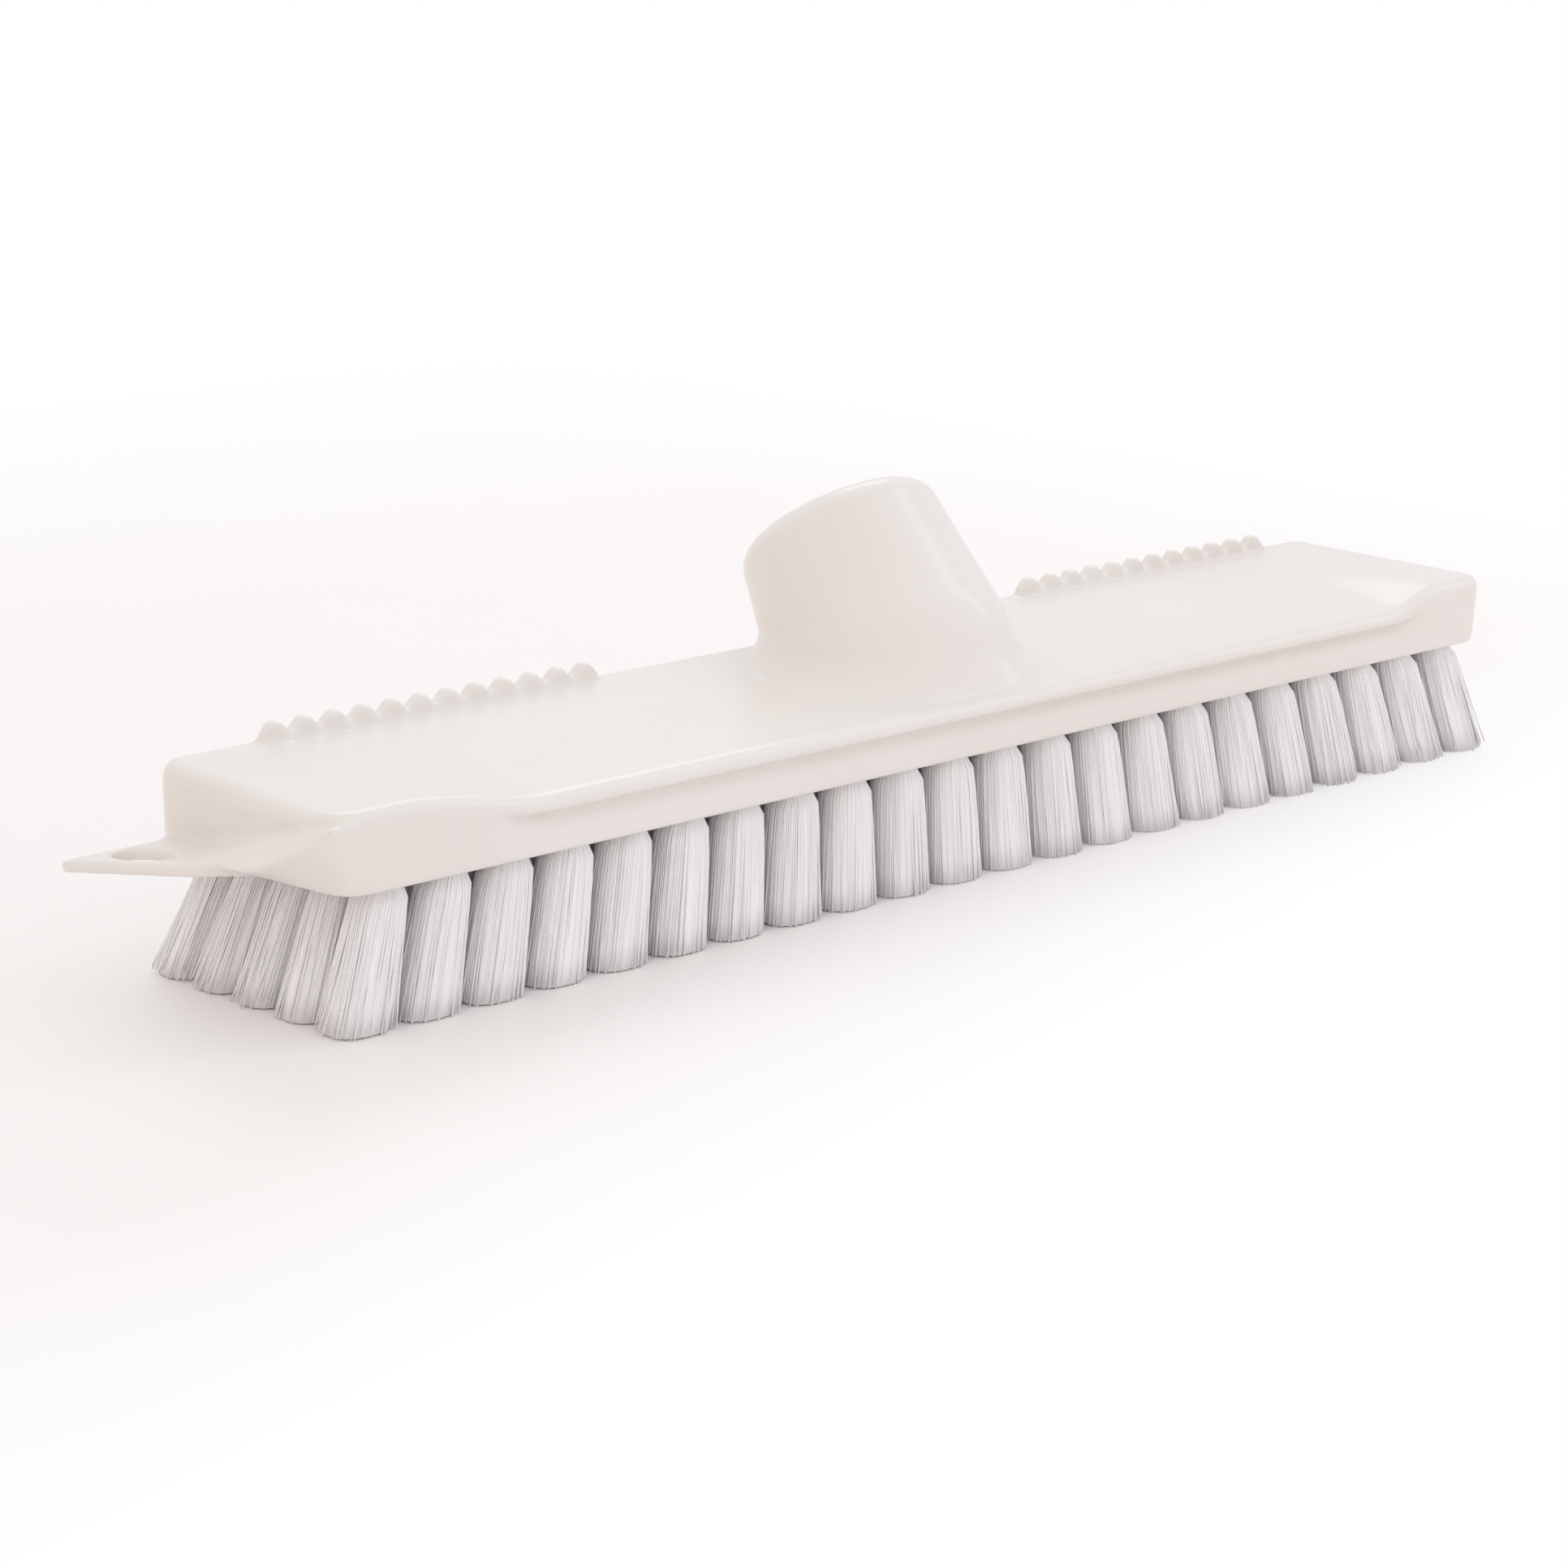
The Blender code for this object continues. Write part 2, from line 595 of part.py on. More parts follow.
def tuft_lean(column, row):
    """How far a tuft's tip has moved from under its root, in X and Y."""
    row_share = row / (ROW_COUNT - 1)
    fan_share = FRONT_FAN_SHARE + (1.0 - FRONT_FAN_SHARE) * row_share
    fan = END_FAN * fan_share * column_place(column) / column_place(COLUMN_COUNT - 1)
    lean = FRONT_LEAN * (2.0 * row_share - 1.0)
    return fan, lean


def add_strand(shape, root_x, root_y, tip_x, tip_y):
    """One four-sided strand from inside its slice to just below the trim plane."""
    top = TRIM_HEIGHT + STRAND_ROOTING
    height = top + TRIM_CUT
    shear_x = (root_x - tip_x) / TRIM_HEIGHT
    shear_y = (root_y - tip_y) / TRIM_HEIGHT
    slant = Matrix.Identity(4)
    slant[0][2] = shear_x
    slant[0][3] = tip_x
    slant[1][2] = shear_y
    slant[1][3] = tip_y
    upright = Matrix.Translation((0.0, 0.0, height / 2 - TRIM_CUT)) @ Matrix.Rotation(math.pi / 4, 4, "Z")
    tip_radius = STRAND_TIP_WIDTH / math.sqrt(2)
    root_radius = STRAND_ROOT_WIDTH / math.sqrt(2)
    bmesh.ops.create_cone(shape, cap_ends=True, segments=STRAND_SIDES, radius1=tip_radius,
                          radius2=root_radius, depth=height, matrix=slant @ upright)


def strand_bundle(column, name, cutters):
    """All strands of one cross row: four to a tuft, spreading towards their tips."""
    shape = bmesh.new()
    x = column_place(column)
    half = STRAND_PITCH / 2
    for row in range(ROW_COUNT):
        y = row_place(row)
        fan, lean = tuft_lean(column, row)
        for side_x in (-half, half):
            for side_y in (-half, half):
                tip_x = x + fan + side_x * TIP_SPREAD_SHARE
                tip_y = y + lean + side_y * TIP_SPREAD_SHARE
                add_strand(shape, x + side_x, y + side_y, tip_x, tip_y)
    return add_cutter(name, shape, cutters)


def trim_plane(cutters):
    """The block of space below the trim plane, which cuts all tips flat."""
    shape = bmesh.new()
    reach_x = HALF_LENGTH + END_FAN + OVERRUN
    reach_y = HALF_WIDTH + FRONT_LEAN + OVERRUN
    add_box(shape, (-reach_x, -reach_y, -OVERRUN), (reach_x, reach_y, 0.0))
    return add_cutter("trim", shape, cutters)


def build_tuft_row(column, trim, parts, cutters):
    """One cross row of tufts: its slice of backing with its strands, trimmed flat."""
    name = f"tuft_row_{column + 1:02d}"
    half_x, half_y = slice_half_size()
    x = column_place(column)
    shape = bmesh.new()
    add_box(shape, (x - half_x, -half_y, TRIM_HEIGHT), (x + half_x, half_y, TRIM_HEIGHT + SLICE_DEPTH))
    item = add_mesh(name, shape, parts)
    add_boolean(item, strand_bundle(column, f"{name}_strands", cutters), "UNION")
    add_boolean(item, trim, "DIFFERENCE")
    item.data.materials.append(make_material(name, BRISTLE_COLOR, BRISTLE_ROUGHNESS))
    return item


def model_bounds(items):
    """Lowest and highest corner of the finished model."""
    graph = bpy.context.evaluated_depsgraph_get()
    corners = []
    for item in items:
        evaluated = item.evaluated_get(graph)
        mesh = evaluated.to_mesh()
        corners += [item.matrix_world @ vertex.co for vertex in mesh.vertices]
        evaluated.to_mesh_clear()
    low = [min(corner[axis] for corner in corners) for axis in range(3)]
    high = [max(corner[axis] for corner in corners) for axis in range(3)]
    return Vector(low), Vector(high)


def centre_on_origin(items, operands):
    """Moves everything together, so that the origin is the middle of the model's base."""
    low, high = model_bounds(items)
    shift = Vector((-(low.x + high.x) / 2, -(low.y + high.y) / 2, 0.0))
    for item in items + operands:
        item.location = item.location + shift
    bpy.context.view_layer.update()
    return shift


def main():
    clear_scene()
    parts = make_collection("floor_scrub_brush")
    cutters = make_collection("cutters")
    trim = trim_plane(cutters)
    items = [build_block(parts, cutters)]
    items += [build_tuft_row(column, trim, parts, cutters) for column in range(COLUMN_COUNT)]
    bpy.context.view_layer.update()
    shift = centre_on_origin(items, list(cutters.objects))
    ring_middle = (SOCKET_MOUTH_RADIUS - SOCKET_ROUND + SOCKET_BORE_RADIUS) / 2
    mouth_point = SOCKET_MOUTH + shift + Vector((ring_middle, 0.0, 0.0))
    print("moved onto the origin by", tuple(shift))
    print("socket mouth, on its ring", tuple(mouth_point), "axis", tuple(SOCKET_AXIS))


main()
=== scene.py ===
import math
import random

import bmesh
import bpy
from mathutils import Matrix, Vector
from mathutils.bvhtree import BVHTree


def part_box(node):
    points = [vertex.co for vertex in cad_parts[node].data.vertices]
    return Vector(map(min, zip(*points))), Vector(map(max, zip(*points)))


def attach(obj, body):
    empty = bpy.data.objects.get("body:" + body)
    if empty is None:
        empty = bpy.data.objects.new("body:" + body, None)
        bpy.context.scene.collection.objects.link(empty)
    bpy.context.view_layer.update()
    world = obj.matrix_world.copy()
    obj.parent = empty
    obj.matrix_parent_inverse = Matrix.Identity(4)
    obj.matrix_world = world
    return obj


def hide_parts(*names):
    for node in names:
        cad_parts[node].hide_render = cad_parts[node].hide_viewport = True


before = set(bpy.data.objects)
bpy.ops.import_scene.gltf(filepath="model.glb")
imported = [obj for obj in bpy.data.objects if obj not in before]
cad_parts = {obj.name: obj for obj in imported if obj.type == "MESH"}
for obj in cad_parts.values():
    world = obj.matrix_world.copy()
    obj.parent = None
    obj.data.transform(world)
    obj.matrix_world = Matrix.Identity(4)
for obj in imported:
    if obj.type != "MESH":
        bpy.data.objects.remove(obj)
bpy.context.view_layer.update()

MM = 0.001

# Sizes of the block; like those of all its parts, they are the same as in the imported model
BLOCK_LENGTH = 303.0 * MM
BLOCK_WIDTH = 56.0 * MM
BLOCK_HEIGHT = 14.8 * MM
FRONT_RIM_HEIGHT = 10.8 * MM
RIM_ROUND = 3.0 * MM
CORNER_RADIUS = 2.5 * MM
END_ROUND = 1.5 * MM
SCOOP_DEPTH = 2.7 * MM
END_DRAFT = 1.6 * MM
END_DRAFT_REACH = 14.0 * MM
END_FOOT_ROUND = 3.0 * MM

# The left end, which carries the hang tab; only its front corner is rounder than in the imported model
TAB_END_EXTRA = 5.0 * MM
TAB_END_DRAFT = 3.0 * MM
TAB_END_DRAFT_REACH = 12.0 * MM
TAB_END_ROUND = 3.0 * MM
TAB_END_FRONT_RADIUS = 7.0 * MM
TAB_END_BACK_RADIUS = 5.0 * MM

# Distances from the block's ends where the front rim is low and where it has risen to full height, and where
# the finger scoops are full depth and where they have run out
LEFT_RISE_REACH = 48.5 * MM
LEFT_RISE_END_REACH = 17.5 * MM
RIGHT_RISE_REACH = 29.5 * MM
RIGHT_RISE_END_REACH = 12.5 * MM
LEFT_SCOOP_REACH = 48.5 * MM
LEFT_SCOOP_END_REACH = 31.5 * MM
RIGHT_SCOOP_REACH = 33.5 * MM
RIGHT_SCOOP_END_REACH = 15.5 * MM

# Cross-sections of the block: how far apart they stand, and the steps of its rounds and its smooth runs
SECTION_STEP = 1.0 * MM
ROUND_STEPS = 9
SPLINE_STEPS = 4

# Height and depth of the scoop's points, as shares of the wall below its round edge and of the scoop's depth
SCOOP_SHARES = ((0.0, 0.0), (0.10, 0.0), (0.40, 0.20), (0.65, 0.60), (0.86, 1.0), (0.93, 0.90), (0.97, 0.25),
                (1.0, 0.0))

# Handle socket
SOCKET_TILT = math.radians(35.0)
SOCKET_BASE_Y = 1.0 * MM
SOCKET_BASE_HEIGHT = 13.5 * MM
SOCKET_BASE_RADIUS = 24.8 * MM
SOCKET_MOUTH_RADIUS = 21.2 * MM
SOCKET_LENGTH = 33.0 * MM
SOCKET_ROUND = 6.0 * MM
SOCKET_SQUARE_FROM = 20.0 * MM
SOCKET_BORE_RADIUS = 12.0 * MM
SOCKET_BORE_DEPTH = 32.0 * MM
SOCKET_SIDES = 120
FOOT_HALF_LENGTH = 34.5 * MM
FOOT_FRONT_INSET = 3.0 * MM
FOOT_BACK_INSET = 0.4 * MM
FOOT_FRONT_SINK = 0.2 * MM
FOOT_BACK_SINK = 3.2 * MM
FOOT_ROOT_INSET = 3.5 * MM
FOOT_ROOT_DROP = 2.5 * MM
FOOT_SQUARENESS = 2.6
ELLIPSE_SQUARENESS = 2.0

# How the socket's foot turns into its square sections: front run, front rise, back run and flare left
FOOT_SHARES = (
    (0.0, 0.0, 0.0, 1.0),
    (0.058, 0.056, 0.20, 0.81),
    (0.116, 0.136, 0.40, 0.516),
    (0.179, 0.260, 0.55, 0.303),
    (0.242, 0.415, 0.68, 0.189),
    (0.358, 0.570, 0.80, 0.098),
    (0.632, 0.752, 0.91, 0.054),
    (1.0, 1.0, 1.0, 0.0),
)

# Rows of small teeth along the back of the deck, one on each side of the socket
TOOTH_PITCH = 6.5 * MM
TOOTH_GAP = 0.5 * MM
TOOTH_FLANK = 2.3 * MM
TOOTH_HEIGHT = 3.8 * MM
TOOTH_FLOOR = 1.3 * MM
TOOTH_WIDTH = 3.4 * MM
TOOTH_ROUND = 1.4 * MM
TEETH_START = 58.0 * MM
TEETH_END_REACH = 15.5 * MM
TEETH_BACK_INSET = 4.0 * MM
TEETH_SINK = 1.5 * MM

# Hang tab at the left end
TAB_THICKNESS = 2.4 * MM
TAB_REACH = 25.2 * MM
TAB_BACK_INSET = 8.4 * MM
TAB_KNEE_REACH = 8.7 * MM
TAB_KNEE_Y = 0.5 * MM
TAB_ROOT_REACH = 0.7 * MM
TAB_ROOT_Y = 5.0 * MM
TAB_ROOT_ROUND = 5.0 * MM
TAB_OVERLAP = 5.0 * MM
TAB_TIP_ROUND = 0.8 * MM
TAB_KNEE_ROUND = 6.0 * MM
TAB_FILLET = 4.0 * MM
HANG_HOLE_REACH = 11.4 * MM
HANG_HOLE_INSET = 6.8 * MM
HANG_HOLE_LENGTH = 11.4 * MM
HANG_HOLE_WIDTH = 6.6 * MM
HANG_HOLE_SIDES = 64
ARC_STEPS = 8

# Web between the tab and the left front corner: place along the width, reach at the bottom and at the
# edge, height of the edge and height at the end wall, as shares of half the width, the reach and the
# block's height
WEB_REACH = 8.0 * MM
WEB_LIFT = 0.3 * MM
WEB_OVERLAP = 8.0 * MM
WEB_SHARES = (
    (-0.996, -0.56, -0.25, 0.696, 0.892),
    (-0.964, -0.43, 0.05, 0.655, 0.878),
    (-0.893, -0.36, 0.22, 0.615, 0.838),
    (-0.786, -0.28, 0.39, 0.540, 0.777),
    (-0.643, -0.17, 0.56, 0.419, 0.696),
    (-0.500, -0.10, 0.625, 0.297, 0.615),
    (-0.393, -0.06, 0.67, 0.223, 0.561),
    (-0.304, -0.01, 0.70, 0.186, 0.520),
    (-0.214, 0.06, 0.73, 0.169, 0.473),
    (-0.107, 0.25, 0.82, 0.162, 0.419),
    (0.0, 0.44, 0.975, 0.157, 0.365),
    (0.179, 0.44, 0.81, 0.149, 0.284),
    (0.429, 0.125, 0.44, 0.142, 0.149),
)

# The tufts: 22 cross rows of 5, each tuft in its own hole, fanned out towards both ends
ROW_NODES = sorted(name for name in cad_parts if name.startswith("tuft_row_"))
COLUMN_PITCH = 13.5 * MM
TUFTS_PER_ROW = 5
TUFT_PITCH = 10.9 * MM
END_FAN = 11.0 * MM
FRONT_FAN_SHARE = 0.7
FRONT_LEAN = 1.8 * MM
HOLE_RADIUS = 3.6 * MM
HOLE_DEPTH = 3.0 * MM
HOLE_SIDES = 28
OVERRUN = 5.0 * MM

# The moulding's skin: the size of its mesh, its smoothing, and how near to the exact shape a point has to
# be so that it's drawn onto it fully or at least partly
SKIN_VOXEL = 0.6 * MM
SKIN_SMOOTHING = 4
SKIN_SMOOTHING_SHARE = 0.5
DRAWN_FULLY = 0.04 * MM
DRAWN_AT_MOST = 0.14 * MM
LAST_SMOOTHING = 3

# Half widths of a tuft, along the block and across it, in its hole and at its tips
ROOT_HALF_X = 3.4 * MM
ROOT_HALF_Y = 3.4 * MM
TIP_HALF_X = 6.0 * MM
TIP_HALF_Y = 5.2 * MM
FLARE_POWER = 0.2
TUFT_SQUARENESS = 2.4

# Where the points of a long and of a short filament lie, as shares of the way from the hole to the tips
STATION_SHARES = (0.0, 0.12, 0.3, 0.55, 0.8, 1.0)
STUB_STATION_SHARES = (0.8, 0.9, 1.0)

# A tuft's core: filaments packed so close that only their ridges show
CORE_REACH_SHARE = 0.975
CORE_END_SHARE = 0.988
CORE_RIDGES = 26
CORE_RIDGE_SHARE = 0.015

# A tuft's filaments: a ring at the face of the core, and the ends of the inner ones
RING_FILAMENTS = 72
RING_REACH_SHARES = (0.965, 0.990)
RING_SHIFT_SHARE = 0.4
INNER_FILAMENTS = 44
INNER_REACH_SHARE = 0.90
FILAMENT_RADIUS = 0.20 * MM
FILAMENT_SIDES = 4
TIP_JITTER = 0.30 * MM
LONGEST_STRAY = 0.9 * MM
BOW = 0.06 * MM
TRIM_SCATTER = 0.35 * MM
LONGEST_SHORTFALL = 1.6 * MM
END_FRAY = 1.8
END_FRAY_POWER = 8
GOLDEN_ANGLE = math.radians(137.508)
SEED = 11

# The camera stood to the left of the block and in front of it, a little above the deck. Its lens and its
# sensor are in millimetres, as Blender takes them.
CAMERA_PLACE = Vector((-489.1, -524.0, 180.2)) * MM
CAMERA_YAW = math.radians(41.216)
CAMERA_PITCH = math.radians(15.02)
LENS = 83.98
SENSOR = 36.0

# Distances from the middle of the block where the floor starts to fade and where it is white; the fade in
# front comes nearer towards the right by this share
FRONT_FADE = (15.0 * MM, 90.0 * MM)
FRONT_SLANT_SHARE = 0.25
BACK_FADE = (280.0 * MM, 620.0 * MM)
SIDE_FADE = (230.0 * MM, 380.0 * MM)
FLOOR_HALF_SIDE = 12000.0 * MM

# Colours as they look on a screen, from 0 to 255
PLASTIC_LIGHT = (240, 235, 231)
PLASTIC_DARK = (236, 230, 225)
PLASTIC_FLECK = (220, 212, 204)
FILAMENT_DARK = (250, 248, 250)
FILAMENT_LIGHT = (254, 253, 255)
FLOOR_LIGHT = (252, 248, 246)
FLOOR_DARK = (250, 246, 244)

# The screen's own curve, which is straight for dark shares and a power above them
SCREEN_FULL = 255
SCREEN_STRAIGHT_SHARE = 0.04045
SCREEN_SLOPE = 12.92
SCREEN_SHIFT = 0.055
SCREEN_POWER = 2.4

# The plastic: how fine its noises are, over which range they count and what they add
CLOUD_SCALE = 14.0
CLOUD_DETAIL = 3.0
CLOUD_RANGE = (0.35, 0.65)
CLOUD_ROUGHNESS = 0.06
FLECK_SCALE = 900.0
FLECK_RANGE = (0.72, 0.80)
FLECK_SHARE = 0.2
SCUFF_SCALE = 1500.0
SCUFF_DETAIL = 3.0
SCUFF_STRETCH_SHARES = (0.12, 1.0, 1.0)
SCUFF_RANGE = (0.45, 0.75)
SCUFF_ROUGHNESS = 0.06
WEAR_SCALE = 45.0
WEAR_RANGE = (0.45, 0.75)
RELIEF_SCALE = 180.0
RELIEF_HEIGHT = 0.010 * MM
PLASTIC_ROUGHNESS = 0.20
PLASTIC_REFRACTION = 1.49

# The filaments: their streaks run along the bristles
STREAK_SCALE = 1400.0
STREAK_DETAIL = 1.0
STREAK_STRETCH_SHARES = (1.0, 1.0, 0.05)
STREAK_RANGE = (0.3, 0.7)
STREAK_ROUGHNESS = 0.12
FILAMENT_ROUGHNESS = 0.34
FILAMENT_REFRACTION = 1.53

# The floor
FLOOR_NOISE_SCALE = 30.0
FLOOR_ROUGHNESS = 0.5
WHITE = (1.0, 1.0, 1.0, 1.0)

# Light of the room from the left, from the middle, from the right and from above
ROOM_LEFT = (0.83, 0.70, 0.59, 1.0)
ROOM_MIDDLE = (0.92, 0.90, 0.895, 1.0)
ROOM_RIGHT = (0.78, 0.80, 0.87, 1.0)
ROOM_TOP = (0.96, 0.97, 0.985, 1.0)

# Lamps: a broad strip and a narrow one on the right in front, and a weak softbox behind the brush. Each has
# its direction from the block, distance, width, height, brightness and colour.
LAMPS = (
    ("broad_strip", (0.71, -0.44, 0.55), 1100.0 * MM, 300.0 * MM, 1000.0 * MM, 0.35, (0.97, 0.98, 1.0)),
    ("narrow_strip", (0.80, -0.30, 0.52), 1100.0 * MM, 40.0 * MM, 800.0 * MM, 4.5, (1.0, 1.0, 1.0)),
    ("back_softbox", (0.45, 0.55, 0.70), 1200.0 * MM, 500.0 * MM, 500.0 * MM, 1.1, (1.0, 1.0, 1.0)),
)

# Numbers of the sockets that the mix node has for colours; its sockets for other kinds have the same names
MIX_FACTOR = 0
MIX_FIRST = 6
MIX_SECOND = 7
MIX_RESULT = 2

# Worked out from the sizes above
HALF_LENGTH = BLOCK_LENGTH / 2
HALF_WIDTH = BLOCK_WIDTH / 2
LEFT_REACH = HALF_LENGTH + TAB_END_EXTRA
TOOTH_COUNT = round((HALF_LENGTH - TEETH_END_REACH - TEETH_START) / TOOTH_PITCH)
TEETH_Y = HALF_WIDTH - TEETH_BACK_INSET
TAB_BACK_Y = HALF_WIDTH - TAB_BACK_INSET
HANG_HOLE_Y = TAB_BACK_Y - HANG_HOLE_INSET
TAB_EDGE_ANGLE = math.atan2(TAB_BACK_Y - TAB_KNEE_Y, TAB_KNEE_REACH - TAB_REACH)
SOCKET_AXIS = Vector((0.0, math.sin(SOCKET_TILT), math.cos(SOCKET_TILT)))
SOCKET_BASE = Vector((0.0, SOCKET_BASE_Y, SOCKET_BASE_HEIGHT))
SOCKET_MOUTH = SOCKET_BASE + SOCKET_AXIS * SOCKET_LENGTH
INTO_HOLE = Vector((0.0, 0.0, HOLE_DEPTH))

# The middle of the block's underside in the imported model
MIDDLE_X = (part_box(ROW_NODES[0])[0].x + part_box(ROW_NODES[-1])[1].x) / 2
BLOCK_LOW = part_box("block")[0]
BLOCK_CENTRE = Vector((MIDDLE_X, BLOCK_LOW.y + HALF_WIDTH, BLOCK_LOW.z))


class Wire:
    """An output socket that takes part in sums as a number does."""

    def __init__(self, graph, socket):
        self.graph = graph
        self.socket = socket

    def sum(self, operation, first, second=0.0):
        """The result of a math node."""
        return self.graph.add("ShaderNodeMath", {"operation": operation}, {0: first, 1: second})

    def __add__(self, other):
        return self.sum("ADD", self, other)

    def __radd__(self, other):
        return self.sum("ADD", other, self)

    def __sub__(self, other):
        return self.sum("SUBTRACT", self, other)

    def __rsub__(self, other):
        return self.sum("SUBTRACT", other, self)

    def __mul__(self, other):
        return self.sum("MULTIPLY", self, other)

    def __rmul__(self, other):
        return self.sum("MULTIPLY", other, self)

    def __abs__(self):
        return self.sum("ABSOLUTE", self)

    def part(self, output):
        """Another output of the same node."""
        return Wire(self.graph, self.socket.node.outputs[output])


class Graph:
    """A node tree, with short ways to add nodes and to link them."""

    def __init__(self, tree):
        self.tree = tree

    def add(self, kind, settings=None, sockets=None, output=0):
        """Adds a node: its settings first, then the values or links of its sockets."""
        node = self.tree.nodes.new(kind)
        for setting, value in (settings or {}).items():
            setattr(node, setting, value)
        for socket, value in (sockets or {}).items():
            self.feed(node.inputs[socket], value)
        return Wire(self, node.outputs[output])

    def feed(self, socket, value):
        """Links a wire to a socket, or sets the socket's own value."""
        if isinstance(value, Wire):
            self.tree.links.new(value.socket, socket)
        else:
            socket.default_value = value

    def stretched(self, place, along_x, along_y, along_z):
        """The place with each axis drawn out or pressed together."""
        return self.add("ShaderNodeMapping", sockets={"Vector": place, "Scale": (along_x, along_y, along_z)})

    def noise(self, place, scale, detail=2.0):
        """Soft random spots, from 0 to 1, of about one part in scale of a metre."""
        return self.add("ShaderNodeTexNoise", sockets={"Vector": place, "Scale": scale, "Detail": detail})

    def between(self, value, low, high):
        """Stretches the range from low to high over 0 to 1, and cuts off what is outside."""
        return self.add("ShaderNodeMapRange", sockets={"Value": value, "From Min": low, "From Max": high})

    def blend(self, factor, first, second):
        """Goes from the first colour to the second one."""
        return self.add("ShaderNodeMix", {"data_type": "RGBA"}, {
            MIX_FACTOR: factor, MIX_FIRST: first, MIX_SECOND: second}, MIX_RESULT)

    def bump(self, height, distance):
        """Small relief from a height."""
        return self.add("ShaderNodeBump", sockets={"Height": height, "Distance": distance})


class Finish(Graph):
    """A material and its nodes."""

    def __init__(self, name):
        self.material = bpy.data.materials.new(name)
        self.material.use_nodes = True
        super().__init__(self.material.node_tree)
        self.shader = self.tree.nodes["Principled BSDF"]
        self.output = self.tree.nodes["Material Output"]

    def surface(self, **values):
        """Sets sockets of the Principled shader, named with underscores for their spaces."""
        for name, value in values.items():
            self.feed(self.shader.inputs[name.replace("_", " ")], value)

    def place(self):
        """A point's place on the object, in metres."""
        return self.add("ShaderNodeTexCoord", output="Object")


def linear(red, green, blue):
    """A colour given as it looks on a screen, from 0 to 255, in the shader's own scale."""
    channels = []
    for channel in (red, green, blue):
        share = channel / SCREEN_FULL
        if share <= SCREEN_STRAIGHT_SHARE:
            channels.append(share / SCREEN_SLOPE)
        else:
            channels.append(((share + SCREEN_SHIFT) / (1.0 + SCREEN_SHIFT)) ** SCREEN_POWER)
    return (*channels, 1.0)


def moulded_plastic():
    """Glossy off-white plastic with faint clouds, fine scuffs and the skin of a polished mould."""
    finish = Finish("moulded_plastic")
    place = finish.place()
    clouds = finish.noise(place, CLOUD_SCALE, CLOUD_DETAIL)
    flecks = finish.noise(place, FLECK_SCALE)
    cloudiness = finish.between(clouds, *CLOUD_RANGE)
    tone = finish.blend(cloudiness, linear(*PLASTIC_LIGHT), linear(*PLASTIC_DARK))
    tone = finish.blend(finish.between(flecks, *FLECK_RANGE) * FLECK_SHARE, tone, linear(*PLASTIC_FLECK))
    scuffs = finish.noise(finish.stretched(place, *SCUFF_STRETCH_SHARES), SCUFF_SCALE, SCUFF_DETAIL)
    wear = finish.between(finish.noise(place, WEAR_SCALE), *WEAR_RANGE)
    worn = wear * finish.between(scuffs, *SCUFF_RANGE) * SCUFF_ROUGHNESS
    roughness = PLASTIC_ROUGHNESS + worn + clouds * CLOUD_ROUGHNESS
    relief = finish.bump(finish.noise(place, RELIEF_SCALE), RELIEF_HEIGHT)
    finish.surface(Base_Color=tone, Roughness=roughness, Normal=relief, IOR=PLASTIC_REFRACTION)
    return finish.material


def filament():
    """Stiff off-white filaments, each a little lighter or darker, with a soft gloss."""
    finish = Finish("filament")
    place = finish.stretched(finish.place(), *STREAK_STRETCH_SHARES)
    streaks = finish.noise(place, STREAK_SCALE, STREAK_DETAIL)
    lightness = finish.between(streaks, *STREAK_RANGE)
    tone = finish.blend(lightness, linear(*FILAMENT_DARK), linear(*FILAMENT_LIGHT))
    roughness = FILAMENT_ROUGHNESS + streaks * STREAK_ROUGHNESS
    finish.surface(Base_Color=tone, Roughness=roughness, IOR=FILAMENT_REFRACTION)
    return finish.material


def floor_finish():
    """Pale floor round the brush, which fades to white."""
    finish = Finish("pale_floor")
    place = finish.add("ShaderNodeNewGeometry", output="Position")
    clouds = finish.noise(place, FLOOR_NOISE_SCALE)
    tone = finish.blend(clouds, linear(*FLOOR_LIGHT), linear(*FLOOR_DARK))
    finish.surface(Base_Color=tone, Roughness=FLOOR_ROUGHNESS)
    along = finish.add("ShaderNodeSeparateXYZ", sockets={"Vector": place})
    from_middle_x = along - BLOCK_CENTRE.x
    from_middle_y = along.part("Y") - BLOCK_CENTRE.y
    ahead = from_middle_x * FRONT_SLANT_SHARE - from_middle_y
    still_grey = 1.0 - finish.between(ahead, *FRONT_FADE)
    still_grey = still_grey * (1.0 - finish.between(from_middle_y, *BACK_FADE))
    still_grey = still_grey * (1.0 - finish.between(abs(from_middle_x), *SIDE_FADE))
    camera = finish.add("ShaderNodeLightPath", output="Is Camera Ray")
    white = finish.add("ShaderNodeEmission", sockets={"Color": WHITE, "Strength": 1.0})
    shade = finish.add("ShaderNodeMixShader", sockets={
        0: (1.0 - still_grey) * camera, 1: Wire(finish, finish.shader.outputs[0]), 2: white})
    finish.feed(finish.output.inputs["Surface"], shade)
    return finish.material


def add_item(name, data):
    """Puts a mesh, a camera or a lamp into the scene."""
    item = bpy.data.objects.new(name, data)
    bpy.context.scene.collection.objects.link(item)
    return item


def add_object(name, shape):
    """Turns a bmesh into an object."""
    mesh = bpy.data.meshes.new(name)
    shape.to_mesh(mesh)
    shape.free()
    return add_item(name, mesh)


def add_piece(name, shape, material):
    """Turns a bmesh into a shown piece that rides on the brush."""
    piece = add_object(name, shape)
    piece.data.materials.append(material)
    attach(piece, "root")
    return piece


